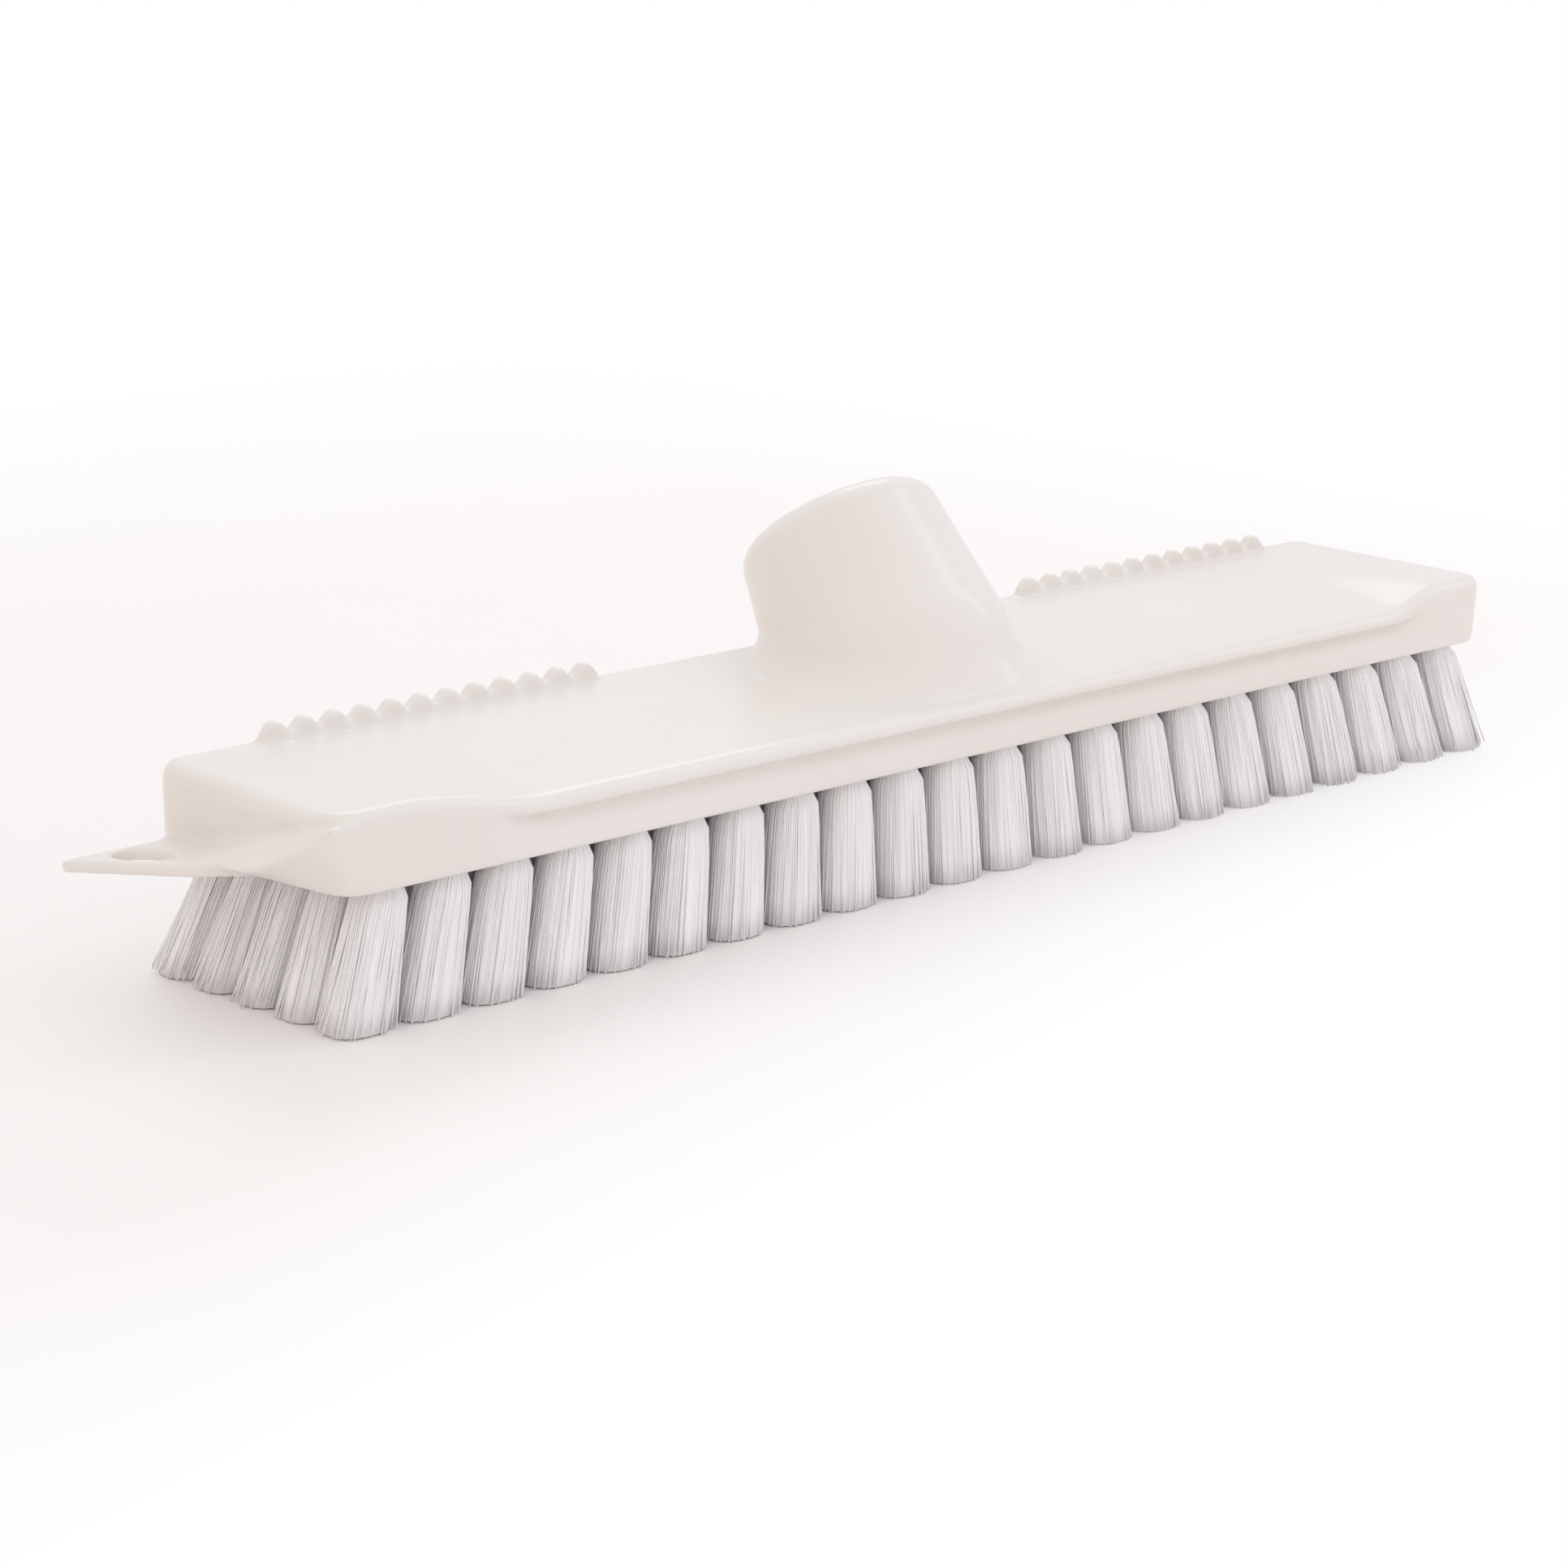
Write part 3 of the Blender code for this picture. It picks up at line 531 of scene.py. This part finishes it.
def applied(item):
    """The object's mesh with its modifiers, in a new bmesh; the object itself is removed."""
    bpy.context.view_layer.update()
    evaluated = item.evaluated_get(bpy.context.evaluated_depsgraph_get())
    shape = bmesh.new()
    shape.from_mesh(evaluated.to_mesh())
    evaluated.to_mesh_clear()
    bpy.data.objects.remove(item, do_unlink=True)
    return shape


def less(shape, *cutters):
    """A closed bmesh with other closed bmeshes cut out of it."""
    bmesh.ops.recalc_face_normals(shape, faces=shape.faces)
    item = add_object("uncut", shape)
    operands = []
    for cutter in cutters:
        bmesh.ops.recalc_face_normals(cutter, faces=cutter.faces)
        operand = add_object("cutter", cutter)
        operands.append(operand)
        cut = item.modifiers.new("cut", "BOOLEAN")
        cut.operation = "DIFFERENCE"
        cut.solver = "EXACT"
        cut.object = operand
    result = applied(item)
    for operand in operands:
        bpy.data.objects.remove(operand, do_unlink=True)
    return result


def joined(shapes):
    """Several bmeshes as loose parts of one."""
    whole = bmesh.new()
    for shape in shapes:
        mesh = bpy.data.meshes.new("part")
        shape.to_mesh(mesh)
        shape.free()
        whole.from_mesh(mesh)
        bpy.data.meshes.remove(mesh)
    return whole


def add_cylinder(shape, sides, radius, depth, place):
    """Adds a closed cylinder, which runs along the Z axis of its place."""
    bmesh.ops.create_cone(shape, cap_ends=True, segments=sides, radius1=radius, radius2=radius, depth=depth,
                          matrix=place)


def loft(rings):
    """Skins a row of rings with as many points each, and closes both ends."""
    shape = bmesh.new()
    rows = [[shape.verts.new(point) for point in ring] for ring in rings]
    count = len(rows[0])
    for low, high in zip(rows, rows[1:]):
        for index in range(count):
            following = (index + 1) % count
            shape.faces.new((low[index], low[following], high[following], high[index]))
    shape.faces.new(rows[0])
    shape.faces.new(rows[-1])
    return shape


def smooth_step(value, start, end):
    """Rises softly from 0 to 1 between start and end."""
    share = min(max((value - start) / (end - start), 0.0), 1.0)
    return share * share * (3.0 - 2.0 * share)


def spline_value(before, first, second, after, share):
    """A value on the smooth curve that runs through the first and the second number."""
    square = share * share
    cube = square * share
    start_slope = (second - before) / 2
    end_slope = (after - first) / 2
    rise = 3 * square - 2 * cube
    start_bend = start_slope * (cube - 2 * square + share)
    end_bend = end_slope * (cube - square)
    return first + (second - first) * rise + start_bend + end_bend


def smooth_rows(rows):
    """Draws rows of numbers out into a smooth run with more rows."""
    finer = []
    last = len(rows) - 1
    for index in range(last):
        near = (rows[max(index - 1, 0)], rows[index], rows[index + 1], rows[min(index + 2, last)])
        for step in range(SPLINE_STEPS):
            share = step / SPLINE_STEPS
            finer.append([spline_value(*values, share) for values in zip(*near)])
    finer.append(rows[last])
    return finer


def round_turns():
    """Angles of the steps of a quarter round."""
    return [math.pi / 2 * step / ROUND_STEPS for step in range(ROUND_STEPS + 1)]


def end_distance(x):
    """How far a place is from the block's nearer end."""
    return LEFT_REACH + x if x < 0 else HALF_LENGTH - x


def front_height(x):
    """Height of the front rim: low along the middle and full at both ends."""
    low_reach = LEFT_RISE_REACH if x < 0 else RIGHT_RISE_REACH
    end_reach = LEFT_RISE_END_REACH if x < 0 else RIGHT_RISE_END_REACH
    fall = smooth_step(end_distance(x), end_reach, low_reach)
    return BLOCK_HEIGHT - (BLOCK_HEIGHT - FRONT_RIM_HEIGHT) * fall


def scoop_depth(x):
    """Depth of the finger scoops: full along the middle and none at both ends."""
    full_reach = LEFT_SCOOP_REACH if x < 0 else RIGHT_SCOOP_REACH
    end_reach = LEFT_SCOOP_END_REACH if x < 0 else RIGHT_SCOOP_END_REACH
    return SCOOP_DEPTH * smooth_step(end_distance(x), end_reach, full_reach)


def arc_drop(distance, radius):
    """How far a quarter round of this radius has fallen at a distance into it."""
    inside = min(max(distance, 0.0), radius)
    return radius - math.sqrt(radius * radius - inside * inside)


def end_draft(x, y, height):
    """How far an end wall has leant in, along X, at a place and a height of the block."""
    low_share = 1.0 - height / BLOCK_HEIGHT
    if x < 0:
        front_share = smooth_step(-y, 0.0, HALF_WIDTH)
        share = 1.0 - smooth_step(end_distance(x), 0.0, TAB_END_DRAFT_REACH)
        return TAB_END_DRAFT * share * front_share * low_share
    share = 1.0 - smooth_step(end_distance(x), 0.0, END_DRAFT_REACH)
    return -END_DRAFT * share * low_share


def wall_points(foot, height, scoop, scoop_rows):
    """One long wall from its foot to the deck: (inset from the outer face, height) pairs."""
    straight = height - RIM_ROUND
    points = [(scoop * depth, foot + (straight - foot) * rise) for rise, depth in scoop_rows[:-1]]
    for turn in round_turns():
        points.append((RIM_ROUND * (1.0 - math.cos(turn)), straight + RIM_ROUND * math.sin(turn)))
    return points


def block_section(x, scoop_rows):
    """Cross-section of the block at a place along it."""
    front_radius = TAB_END_FRONT_RADIUS if x < 0 else CORNER_RADIUS
    back_radius = TAB_END_BACK_RADIUS if x < 0 else CORNER_RADIUS
    end_round = TAB_END_ROUND if x < 0 else END_ROUND
    inside = end_distance(x)
    front_edge = HALF_WIDTH - arc_drop(front_radius - inside, front_radius)
    back_edge = HALF_WIDTH - arc_drop(back_radius - inside, back_radius)
    drop = arc_drop(end_round - inside, end_round)
    foot = arc_drop(x - (HALF_LENGTH - END_FOOT_ROUND), END_FOOT_ROUND)
    front = wall_points(foot, front_height(x) - drop, scoop_depth(x), scoop_rows)
    back = wall_points(foot, BLOCK_HEIGHT - drop, scoop_depth(x), scoop_rows)
    ring = [(depth - front_edge, height) for depth, height in front]
    ring += [(back_edge - depth, height) for depth, height in reversed(back)]
    return [(x + end_draft(x, y, height), y, height) for y, height in ring]


def section_places(reach, radius):
    """Distances from the middle of the block to its cross-sections on the way to one end."""
    straight = reach - radius
    count = round(straight / SECTION_STEP)
    places = [straight * step / count for step in range(count + 1)]
    return places + [straight + radius * math.sin(turn) for turn in round_turns()[1:]]


def block_body():
    """The deck with its rims, scoops and round ends."""
    scoop_rows = smooth_rows(SCOOP_SHARES)
    left = section_places(LEFT_REACH, TAB_END_FRONT_RADIUS)
    right = section_places(HALF_LENGTH, END_FOOT_ROUND)
    places = sorted({-place for place in left} | set(right))
    return loft([block_section(x, scoop_rows) for x in places])


def tuft_holes():
    """The holes in the underside that the tufts stand in."""
    holes = bmesh.new()
    depth = HOLE_DEPTH + OVERRUN
    for column in range(len(ROW_NODES)):
        for row in range(TUFTS_PER_ROW):
            middle = root_place(column, row) + Vector((0.0, 0.0, depth / 2 - OVERRUN))
            add_cylinder(holes, HOLE_SIDES, HOLE_RADIUS, depth, Matrix.Translation(middle))
    return holes


def socket_radius(station):
    """Radius of the socket's straight cone at a place along its axis."""
    share = station / (SOCKET_LENGTH - SOCKET_ROUND)
    return SOCKET_BASE_RADIUS + (SOCKET_MOUTH_RADIUS - SOCKET_BASE_RADIUS) * share


def square_edges(station, radius):
    """Front and back points, in Y and Z, of a circle square to the socket's axis."""
    centre = SOCKET_BASE + SOCKET_AXIS * station
    across = Vector((0.0, math.cos(SOCKET_TILT), -math.sin(SOCKET_TILT))) * radius
    return centre - across, centre + across


def rounded_power(value, squareness):
    """Keeps the sign of a sine or cosine while it squares up an ellipse."""
    return math.copysign(abs(value) ** (2 / squareness), value)


def socket_ring(front, back, half_length, squareness=ELLIPSE_SQUARENESS):
    """An ellipse, or a squarer one, through a front and a back point with a given half length along X."""
    centre = (front + back) / 2
    across = (back - front) / 2
    along = Vector((half_length, 0.0, 0.0))
    ring = []
    for side in range(SOCKET_SIDES):
        turn = 2 * math.pi * side / SOCKET_SIDES
        reach_x = rounded_power(math.cos(turn), squareness)
        reach_y = rounded_power(math.sin(turn), squareness)
        ring.append(centre + along * reach_x + across * reach_y)
    return ring


def socket_body():
    """The leaning socket with the flared foot that spreads over the deck."""
    foot_front = Vector((0.0, FOOT_FRONT_INSET - HALF_WIDTH, FRONT_RIM_HEIGHT - FOOT_FRONT_SINK))
    foot_back = Vector((0.0, HALF_WIDTH - FOOT_BACK_INSET, BLOCK_HEIGHT - FOOT_BACK_SINK))
    root_front = foot_front + Vector((0.0, FOOT_ROOT_INSET, -FOOT_ROOT_DROP))
    root_back = foot_back + Vector((0.0, -FOOT_ROOT_INSET, -FOOT_ROOT_DROP))
    rings = [socket_ring(root_front, root_back, FOOT_HALF_LENGTH - FOOT_ROOT_INSET, FOOT_SQUARENESS)]
    square_radius = socket_radius(SOCKET_SQUARE_FROM)
    square_front, square_back = square_edges(SOCKET_SQUARE_FROM, square_radius)
    step = square_front - foot_front
    for front_run, front_rise, back_run, flare in smooth_rows(FOOT_SHARES):
        front = foot_front + Vector((0.0, step.y * front_run, step.z * front_rise))
        back = foot_back.lerp(square_back, back_run)
        half_length = square_radius + (FOOT_HALF_LENGTH - square_radius) * flare
        squareness = ELLIPSE_SQUARENESS + (FOOT_SQUARENESS - ELLIPSE_SQUARENESS) * flare
        rings.append(socket_ring(front, back, half_length, squareness))
    shoulder = SOCKET_LENGTH - SOCKET_ROUND
    for turn in round_turns():
        radius = SOCKET_MOUTH_RADIUS - SOCKET_ROUND * (1.0 - math.cos(turn))
        rings.append(socket_ring(*square_edges(shoulder + SOCKET_ROUND * math.sin(turn), radius), radius))
    return loft(rings)


def socket_bore():
    """The blind hole that the handle goes into."""
    shape = bmesh.new()
    depth = SOCKET_BORE_DEPTH + OVERRUN
    middle = SOCKET_MOUTH + SOCKET_AXIS * (OVERRUN - depth / 2)
    place = Matrix.Translation(middle) @ Matrix.Rotation(-SOCKET_TILT, 4, "X")
    add_cylinder(shape, SOCKET_SIDES, SOCKET_BORE_RADIUS, depth, place)
    return shape


def rounded_outline(corners):
    """Points of a closed outline whose corners (x, y, radius) are turned into arcs."""
    points = []
    for index, (x, y, radius) in enumerate(corners):
        corner = Vector((x, y))
        before = Vector(corners[index - 1][:2]) - corner
        after = Vector(corners[(index + 1) % len(corners)][:2]) - corner
        if radius == 0:
            points.append(corner)
            continue
        before.normalize()
        after.normalize()
        half_angle = before.angle(after) / 2
        centre = corner + (before + after).normalized() * radius / math.sin(half_angle)
        start = corner + before * radius / math.tan(half_angle) - centre
        sweep = start.angle_signed(corner + after * radius / math.tan(half_angle) - centre)
        for step in range(ARC_STEPS + 1):
            turn = Matrix.Rotation(-sweep * step / ARC_STEPS, 2)
            points.append(centre + turn @ start)
    return points


def plate(outline, thickness, place):
    """A flat plate from a closed outline, with its middle layer in the plane of the outline."""
    rings = [[place @ Vector((x, y, side * thickness / 2)) for x, y in outline] for side in (-1, 1)]
    return loft(rings)


def teeth_outline():
    """Side view of one row of teeth, from its buried foot up."""
    corners = []
    for index in range(TOOTH_COUNT):
        left = TOOTH_PITCH * index + TOOTH_GAP / 2
        right = TOOTH_PITCH * (index + 1) - TOOTH_GAP / 2
        corners.append((left, TOOTH_FLOOR, 0))
        corners.append((left + TOOTH_FLANK, TOOTH_HEIGHT, TOOTH_ROUND))
        corners.append((right - TOOTH_FLANK, TOOTH_HEIGHT, TOOTH_ROUND))
        corners.append((right, TOOTH_FLOOR, 0))
    corners.append((TOOTH_PITCH * TOOTH_COUNT - TOOTH_GAP / 2, -TEETH_SINK, 0))
    corners.append((TOOTH_GAP / 2, -TEETH_SINK, 0))
    return rounded_outline(corners)


def teeth_row(start):
    """One row of teeth standing on the back of the deck."""
    upright = Matrix.Rotation(math.pi / 2, 4, "X")
    place = Matrix.Translation((start, TEETH_Y, BLOCK_HEIGHT)) @ upright
    return plate(teeth_outline(), TOOTH_WIDTH, place)


def tab_body():
    """The flat hang tab, level with the block's underside."""
    inner = -(LEFT_REACH - TAB_OVERLAP)
    corners = (
        (inner, TAB_ROOT_Y - TAB_BACK_Y, 0),
        (-(LEFT_REACH + TAB_ROOT_REACH), -TAB_ROOT_Y, TAB_ROOT_ROUND),
        (-(LEFT_REACH + TAB_KNEE_REACH), TAB_KNEE_Y, TAB_KNEE_ROUND),
        (-(LEFT_REACH + TAB_REACH), TAB_BACK_Y, TAB_TIP_ROUND),
        (-(LEFT_REACH + TAB_FILLET), TAB_BACK_Y, TAB_FILLET),
        (-LEFT_REACH, TAB_BACK_Y + TAB_FILLET, 0),
        (inner, TAB_BACK_Y + TAB_FILLET, 0),
    )
    return plate(rounded_outline(corners), TAB_THICKNESS, Matrix.Translation((0.0, 0.0, TAB_THICKNESS / 2)))


def hang_hole():
    """The oval hole through the hang tab, in line with the tab's slanted outer edge."""
    shape = bmesh.new()
    centre = (-(LEFT_REACH + HANG_HOLE_REACH), HANG_HOLE_Y, TAB_THICKNESS / 2)
    size = (HANG_HOLE_LENGTH, HANG_HOLE_WIDTH, TAB_THICKNESS + 2 * OVERRUN, 1.0)
    turn = Matrix.Rotation(TAB_EDGE_ANGLE, 4, "Z")
    place = Matrix.Translation(centre) @ turn @ Matrix.Diagonal(size)
    add_cylinder(shape, HANG_HOLE_SIDES, 1.0 / 2, 1.0, place)
    return shape


def web_body():
    """The web that rises from the tab's root to the left front corner of the block."""
    inner = -(LEFT_REACH - WEB_OVERLAP)
    rings = []
    for across, foot_reach, edge_reach, edge_height, wall_height in smooth_rows(WEB_SHARES):
        y = HALF_WIDTH * across
        wall_z = BLOCK_HEIGHT * wall_height
        rings.append((
            (inner, y, WEB_LIFT),
            (-(LEFT_REACH + WEB_REACH * foot_reach), y, WEB_LIFT),
            (-(LEFT_REACH + WEB_REACH * edge_reach), y, BLOCK_HEIGHT * edge_height),
            (-LEFT_REACH, y, wall_z),
            (inner, y, wall_z),
        ))
    return loft(rings)


def draw_onto(shape, source):
    """Draws the vertices near an exact shape onto it, fully or in part, and then smooths them a little."""
    tree = BVHTree.FromBMesh(source)
    for vertex in shape.verts:
        nearest, _, _, distance = tree.find_nearest(vertex.co, DRAWN_AT_MOST)
        if nearest is not None:
            share = min((DRAWN_AT_MOST - distance) / (DRAWN_AT_MOST - DRAWN_FULLY), 1.0)
            vertex.co = vertex.co.lerp(nearest, share)
    for _ in range(LAST_SMOOTHING):
        bmesh.ops.smooth_vert(shape, verts=shape.verts, factor=SKIN_SMOOTHING_SHARE,
                              use_axis_x=True, use_axis_y=True, use_axis_z=True)


def add_moulding(material):
    """The whole block as one moulding, with the small rounds that a mould leaves on every edge."""
    left_teeth = -TEETH_START - TOOTH_PITCH * TOOTH_COUNT
    pieces = [less(block_body(), socket_bore(), tuft_holes()), less(socket_body(), socket_bore())]
    pieces += [less(tab_body(), hang_hole()), web_body(), teeth_row(TEETH_START), teeth_row(left_teeth)]
    source = joined(pieces)
    bmesh.ops.recalc_face_normals(source, faces=source.faces)
    bmesh.ops.translate(source, vec=BLOCK_CENTRE, verts=source.verts)
    item = add_object("moulding", source.copy())
    skin = item.modifiers.new("skin", "REMESH")
    skin.mode = "VOXEL"
    skin.voxel_size = SKIN_VOXEL
    relax = item.modifiers.new("relax", "SMOOTH")
    relax.factor = SKIN_SMOOTHING_SHARE
    relax.iterations = SKIN_SMOOTHING
    smooth = applied(item)
    draw_onto(smooth, source)
    source.free()
    for face in smooth.faces:
        face.smooth = True
    moulding = add_piece("block_moulding", smooth, material)
    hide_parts("block")


def root_place(column, row):
    """Where a tuft leaves the underside, from the middle of the underside."""
    x = COLUMN_PITCH * (column - (len(ROW_NODES) - 1) / 2)
    y = TUFT_PITCH * (row - (TUFTS_PER_ROW - 1) / 2)
    return Vector((x, y, 0.0))


def way_to_end(column):
    """How far along the block a cross row is: -1 at the hang tab, 0 in the middle and 1 at the other end."""
    return 2.0 * column / (len(ROW_NODES) - 1) - 1.0


def tuft_ends(column, row):
    """The middle of a tuft's root and the middle of its tips, on the floor."""
    row_share = row / (TUFTS_PER_ROW - 1)
    fan = END_FAN * way_to_end(column) * (FRONT_FAN_SHARE + (1.0 - FRONT_FAN_SHARE) * row_share)
    lean = FRONT_LEAN * (2.0 * row_share - 1.0)
    root = BLOCK_CENTRE + root_place(column, row)
    return root, Vector((root.x + fan, root.y + lean, 0.0))


def tuft_offset(angle, reach, share):
    """A point's offset from the middle of its tuft, part of the way from the hole to the tips."""
    flare = share ** FLARE_POWER
    half_x = ROOT_HALF_X + (TIP_HALF_X - ROOT_HALF_X) * flare
    half_y = ROOT_HALF_Y + (TIP_HALF_Y - ROOT_HALF_Y) * flare
    squareness = ELLIPSE_SQUARENESS + (TUFT_SQUARENESS - ELLIPSE_SQUARENESS) * flare
    offset_x = half_x * rounded_power(math.cos(angle), squareness)
    offset_y = half_y * rounded_power(math.sin(angle), squareness)
    return Vector((offset_x, offset_y, 0.0)) * reach


def add_tube(shape, rings):
    """Skins rings of points, listed from the top down, into a closed smooth tube."""
    rows = [[shape.verts.new(point) for point in ring] for ring in rings]
    count = len(rows[0])
    for upper, lower in zip(rows, rows[1:]):
        for side in range(count):
            following = (side + 1) % count
            face = shape.faces.new((upper[side], lower[side], lower[following], upper[following]))
            face.smooth = True
    shape.faces.new(rows[0])
    shape.faces.new(reversed(rows[-1]))


def core_ring(middle, share):
    """A ridged ring of the core, part of the way from the hole to the tips."""
    ring = []
    for side in range(2 * CORE_RIDGES):
        angle = math.pi * side / CORE_RIDGES
        reach = CORE_REACH_SHARE - CORE_RIDGE_SHARE * (side % 2)
        ring.append(middle + tuft_offset(angle, reach, share))
    return ring


def add_core(shape, root, tip):
    """The closely packed middle of a tuft, which starts inside its hole and ends just above the tips."""
    rings = [core_ring(root + INTO_HOLE, 0.0)]
    for station_share in STATION_SHARES:
        share = station_share * CORE_END_SHARE
        rings.append(core_ring(root.lerp(tip, share), share))
    add_tube(shape, rings)


def add_filament(shape, points, turn):
    """One filament: a thin tube along a row of points."""
    rings = []
    for middle in points:
        ring = []
        for side in range(FILAMENT_SIDES):
            angle = turn + 2 * math.pi * side / FILAMENT_SIDES
            offset = Vector((math.cos(angle), math.sin(angle), 0.0)) * FILAMENT_RADIUS
            ring.append(middle + offset)
        rings.append(ring)
    add_tube(shape, rings)


def held_in(value, limit):
    """Keeps a value from going past a limit, either way."""
    return min(max(value, -limit), limit)


def filament_points(root, tip, angle, reach, shares, fray, dice):
    """Points along one filament, which stands part of the way out from the middle of its tuft."""
    shortfall = min(abs(dice.gauss(0, TRIM_SCATTER * fray)), LONGEST_SHORTFALL)
    stray_x = held_in(dice.gauss(0, TIP_JITTER * fray), LONGEST_STRAY)
    stray_y = held_in(dice.gauss(0, TIP_JITTER * fray), LONGEST_STRAY)
    stray = Vector((stray_x, stray_y, 0.0))
    bow_angle = dice.uniform(0, 2 * math.pi)
    bow = Vector((math.cos(bow_angle), math.sin(bow_angle), 0.0)) * dice.gauss(0, BOW)
    points = []
    for share in shares:
        point = root.lerp(tip + Vector((0.0, 0.0, shortfall)), share) + tuft_offset(angle, reach, share)
        points.append(point + stray * share * share + bow * math.sin(math.pi * share))
    return points


def add_tuft(shape, column, row, dice):
    """One tuft: a packed core, a ring of filaments at its face and the ends of the inner ones."""
    root, tip = tuft_ends(column, row)
    add_core(shape, root, tip)
    fray = 1.0 + END_FRAY * abs(way_to_end(column)) ** END_FRAY_POWER
    for index in range(RING_FILAMENTS):
        shift = dice.uniform(-RING_SHIFT_SHARE, RING_SHIFT_SHARE)
        angle = 2 * math.pi * (index + shift) / RING_FILAMENTS
        reach = dice.uniform(*RING_REACH_SHARES)
        points = filament_points(root, tip, angle, reach, STATION_SHARES, fray, dice)
        points.insert(0, points[0] + INTO_HOLE)
        add_filament(shape, points, dice.uniform(0, math.pi))
    for index in range(INNER_FILAMENTS):
        reach = INNER_REACH_SHARE * math.sqrt((index + 1 / 2) / INNER_FILAMENTS)
        points = filament_points(root, tip, GOLDEN_ANGLE * index, reach, STUB_STATION_SHARES, fray, dice)
        add_filament(shape, points, dice.uniform(0, math.pi))


def add_tuft_rows(material):
    """Every cross row of tufts, each in the place of its node."""
    dice = random.Random(SEED)
    for column, node in enumerate(ROW_NODES):
        shape = bmesh.new()
        for row in range(TUFTS_PER_ROW):
            add_tuft(shape, column, row, dice)
        piece = add_piece(f"filaments_{column + 1:02d}", shape, material)
        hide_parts(node)


def add_floor():
    """A wide pale floor under the filaments' tips."""
    shape = bmesh.new()
    bmesh.ops.create_grid(shape, x_segments=1, y_segments=1, size=FLOOR_HALF_SIDE)
    floor = add_object("floor", shape)
    floor.data.materials.append(floor_finish())


def add_camera():
    """The photograph's own view."""
    camera = bpy.data.cameras.new("camera")
    camera.sensor_width = SENSOR
    camera.lens = LENS
    item = add_item("camera", camera)
    item.location = BLOCK_CENTRE + CAMERA_PLACE
    item.rotation_euler = (math.pi / 2 - CAMERA_PITCH, 0.0, -CAMERA_YAW)
    bpy.context.scene.camera = item


def add_softbox(name, direction, distance, width, height, radiance, color):
    """A soft lamp that faces the block, given by where it stands and how bright its face is."""
    lamp = bpy.data.lights.new(name, "AREA")
    lamp.shape = "RECTANGLE"
    lamp.size = width
    lamp.size_y = height
    lamp.energy = radiance * math.pi * width * height
    lamp.color = color
    item = add_item(name, lamp)
    toward = Vector(direction).normalized()
    item.location = BLOCK_CENTRE + toward * distance
    item.rotation_euler = (-toward).to_track_quat("-Z", "Y").to_euler()


def light_the_room():
    """A soft room, warm on the left, cool on the right and lightest above."""
    world = bpy.data.worlds.new("room")
    world.use_nodes = True
    room = Graph(world.node_tree)
    direction = room.add("ShaderNodeTexCoord", output="Generated")
    across = room.add("ShaderNodeSeparateXYZ", sockets={"Vector": direction})
    color = room.blend(room.between(across, -1.0, 0.0), ROOM_LEFT, ROOM_MIDDLE)
    color = room.blend(room.between(across, 0.0, 1.0), color, ROOM_RIGHT)
    color = room.blend(room.between(across.part("Z"), 0.0, 1.0), color, ROOM_TOP)
    room.feed(world.node_tree.nodes["Background"].inputs["Color"], color)
    bpy.context.scene.world = world
    bpy.context.scene.view_settings.view_transform = "Standard"


def main():
    """Builds the brush, the floor, the camera and the lights."""
    add_moulding(moulded_plastic())
    add_tuft_rows(filament())
    add_floor()
    add_camera()
    light_the_room()
    for lamp in LAMPS:
        add_softbox(*lamp)


main()
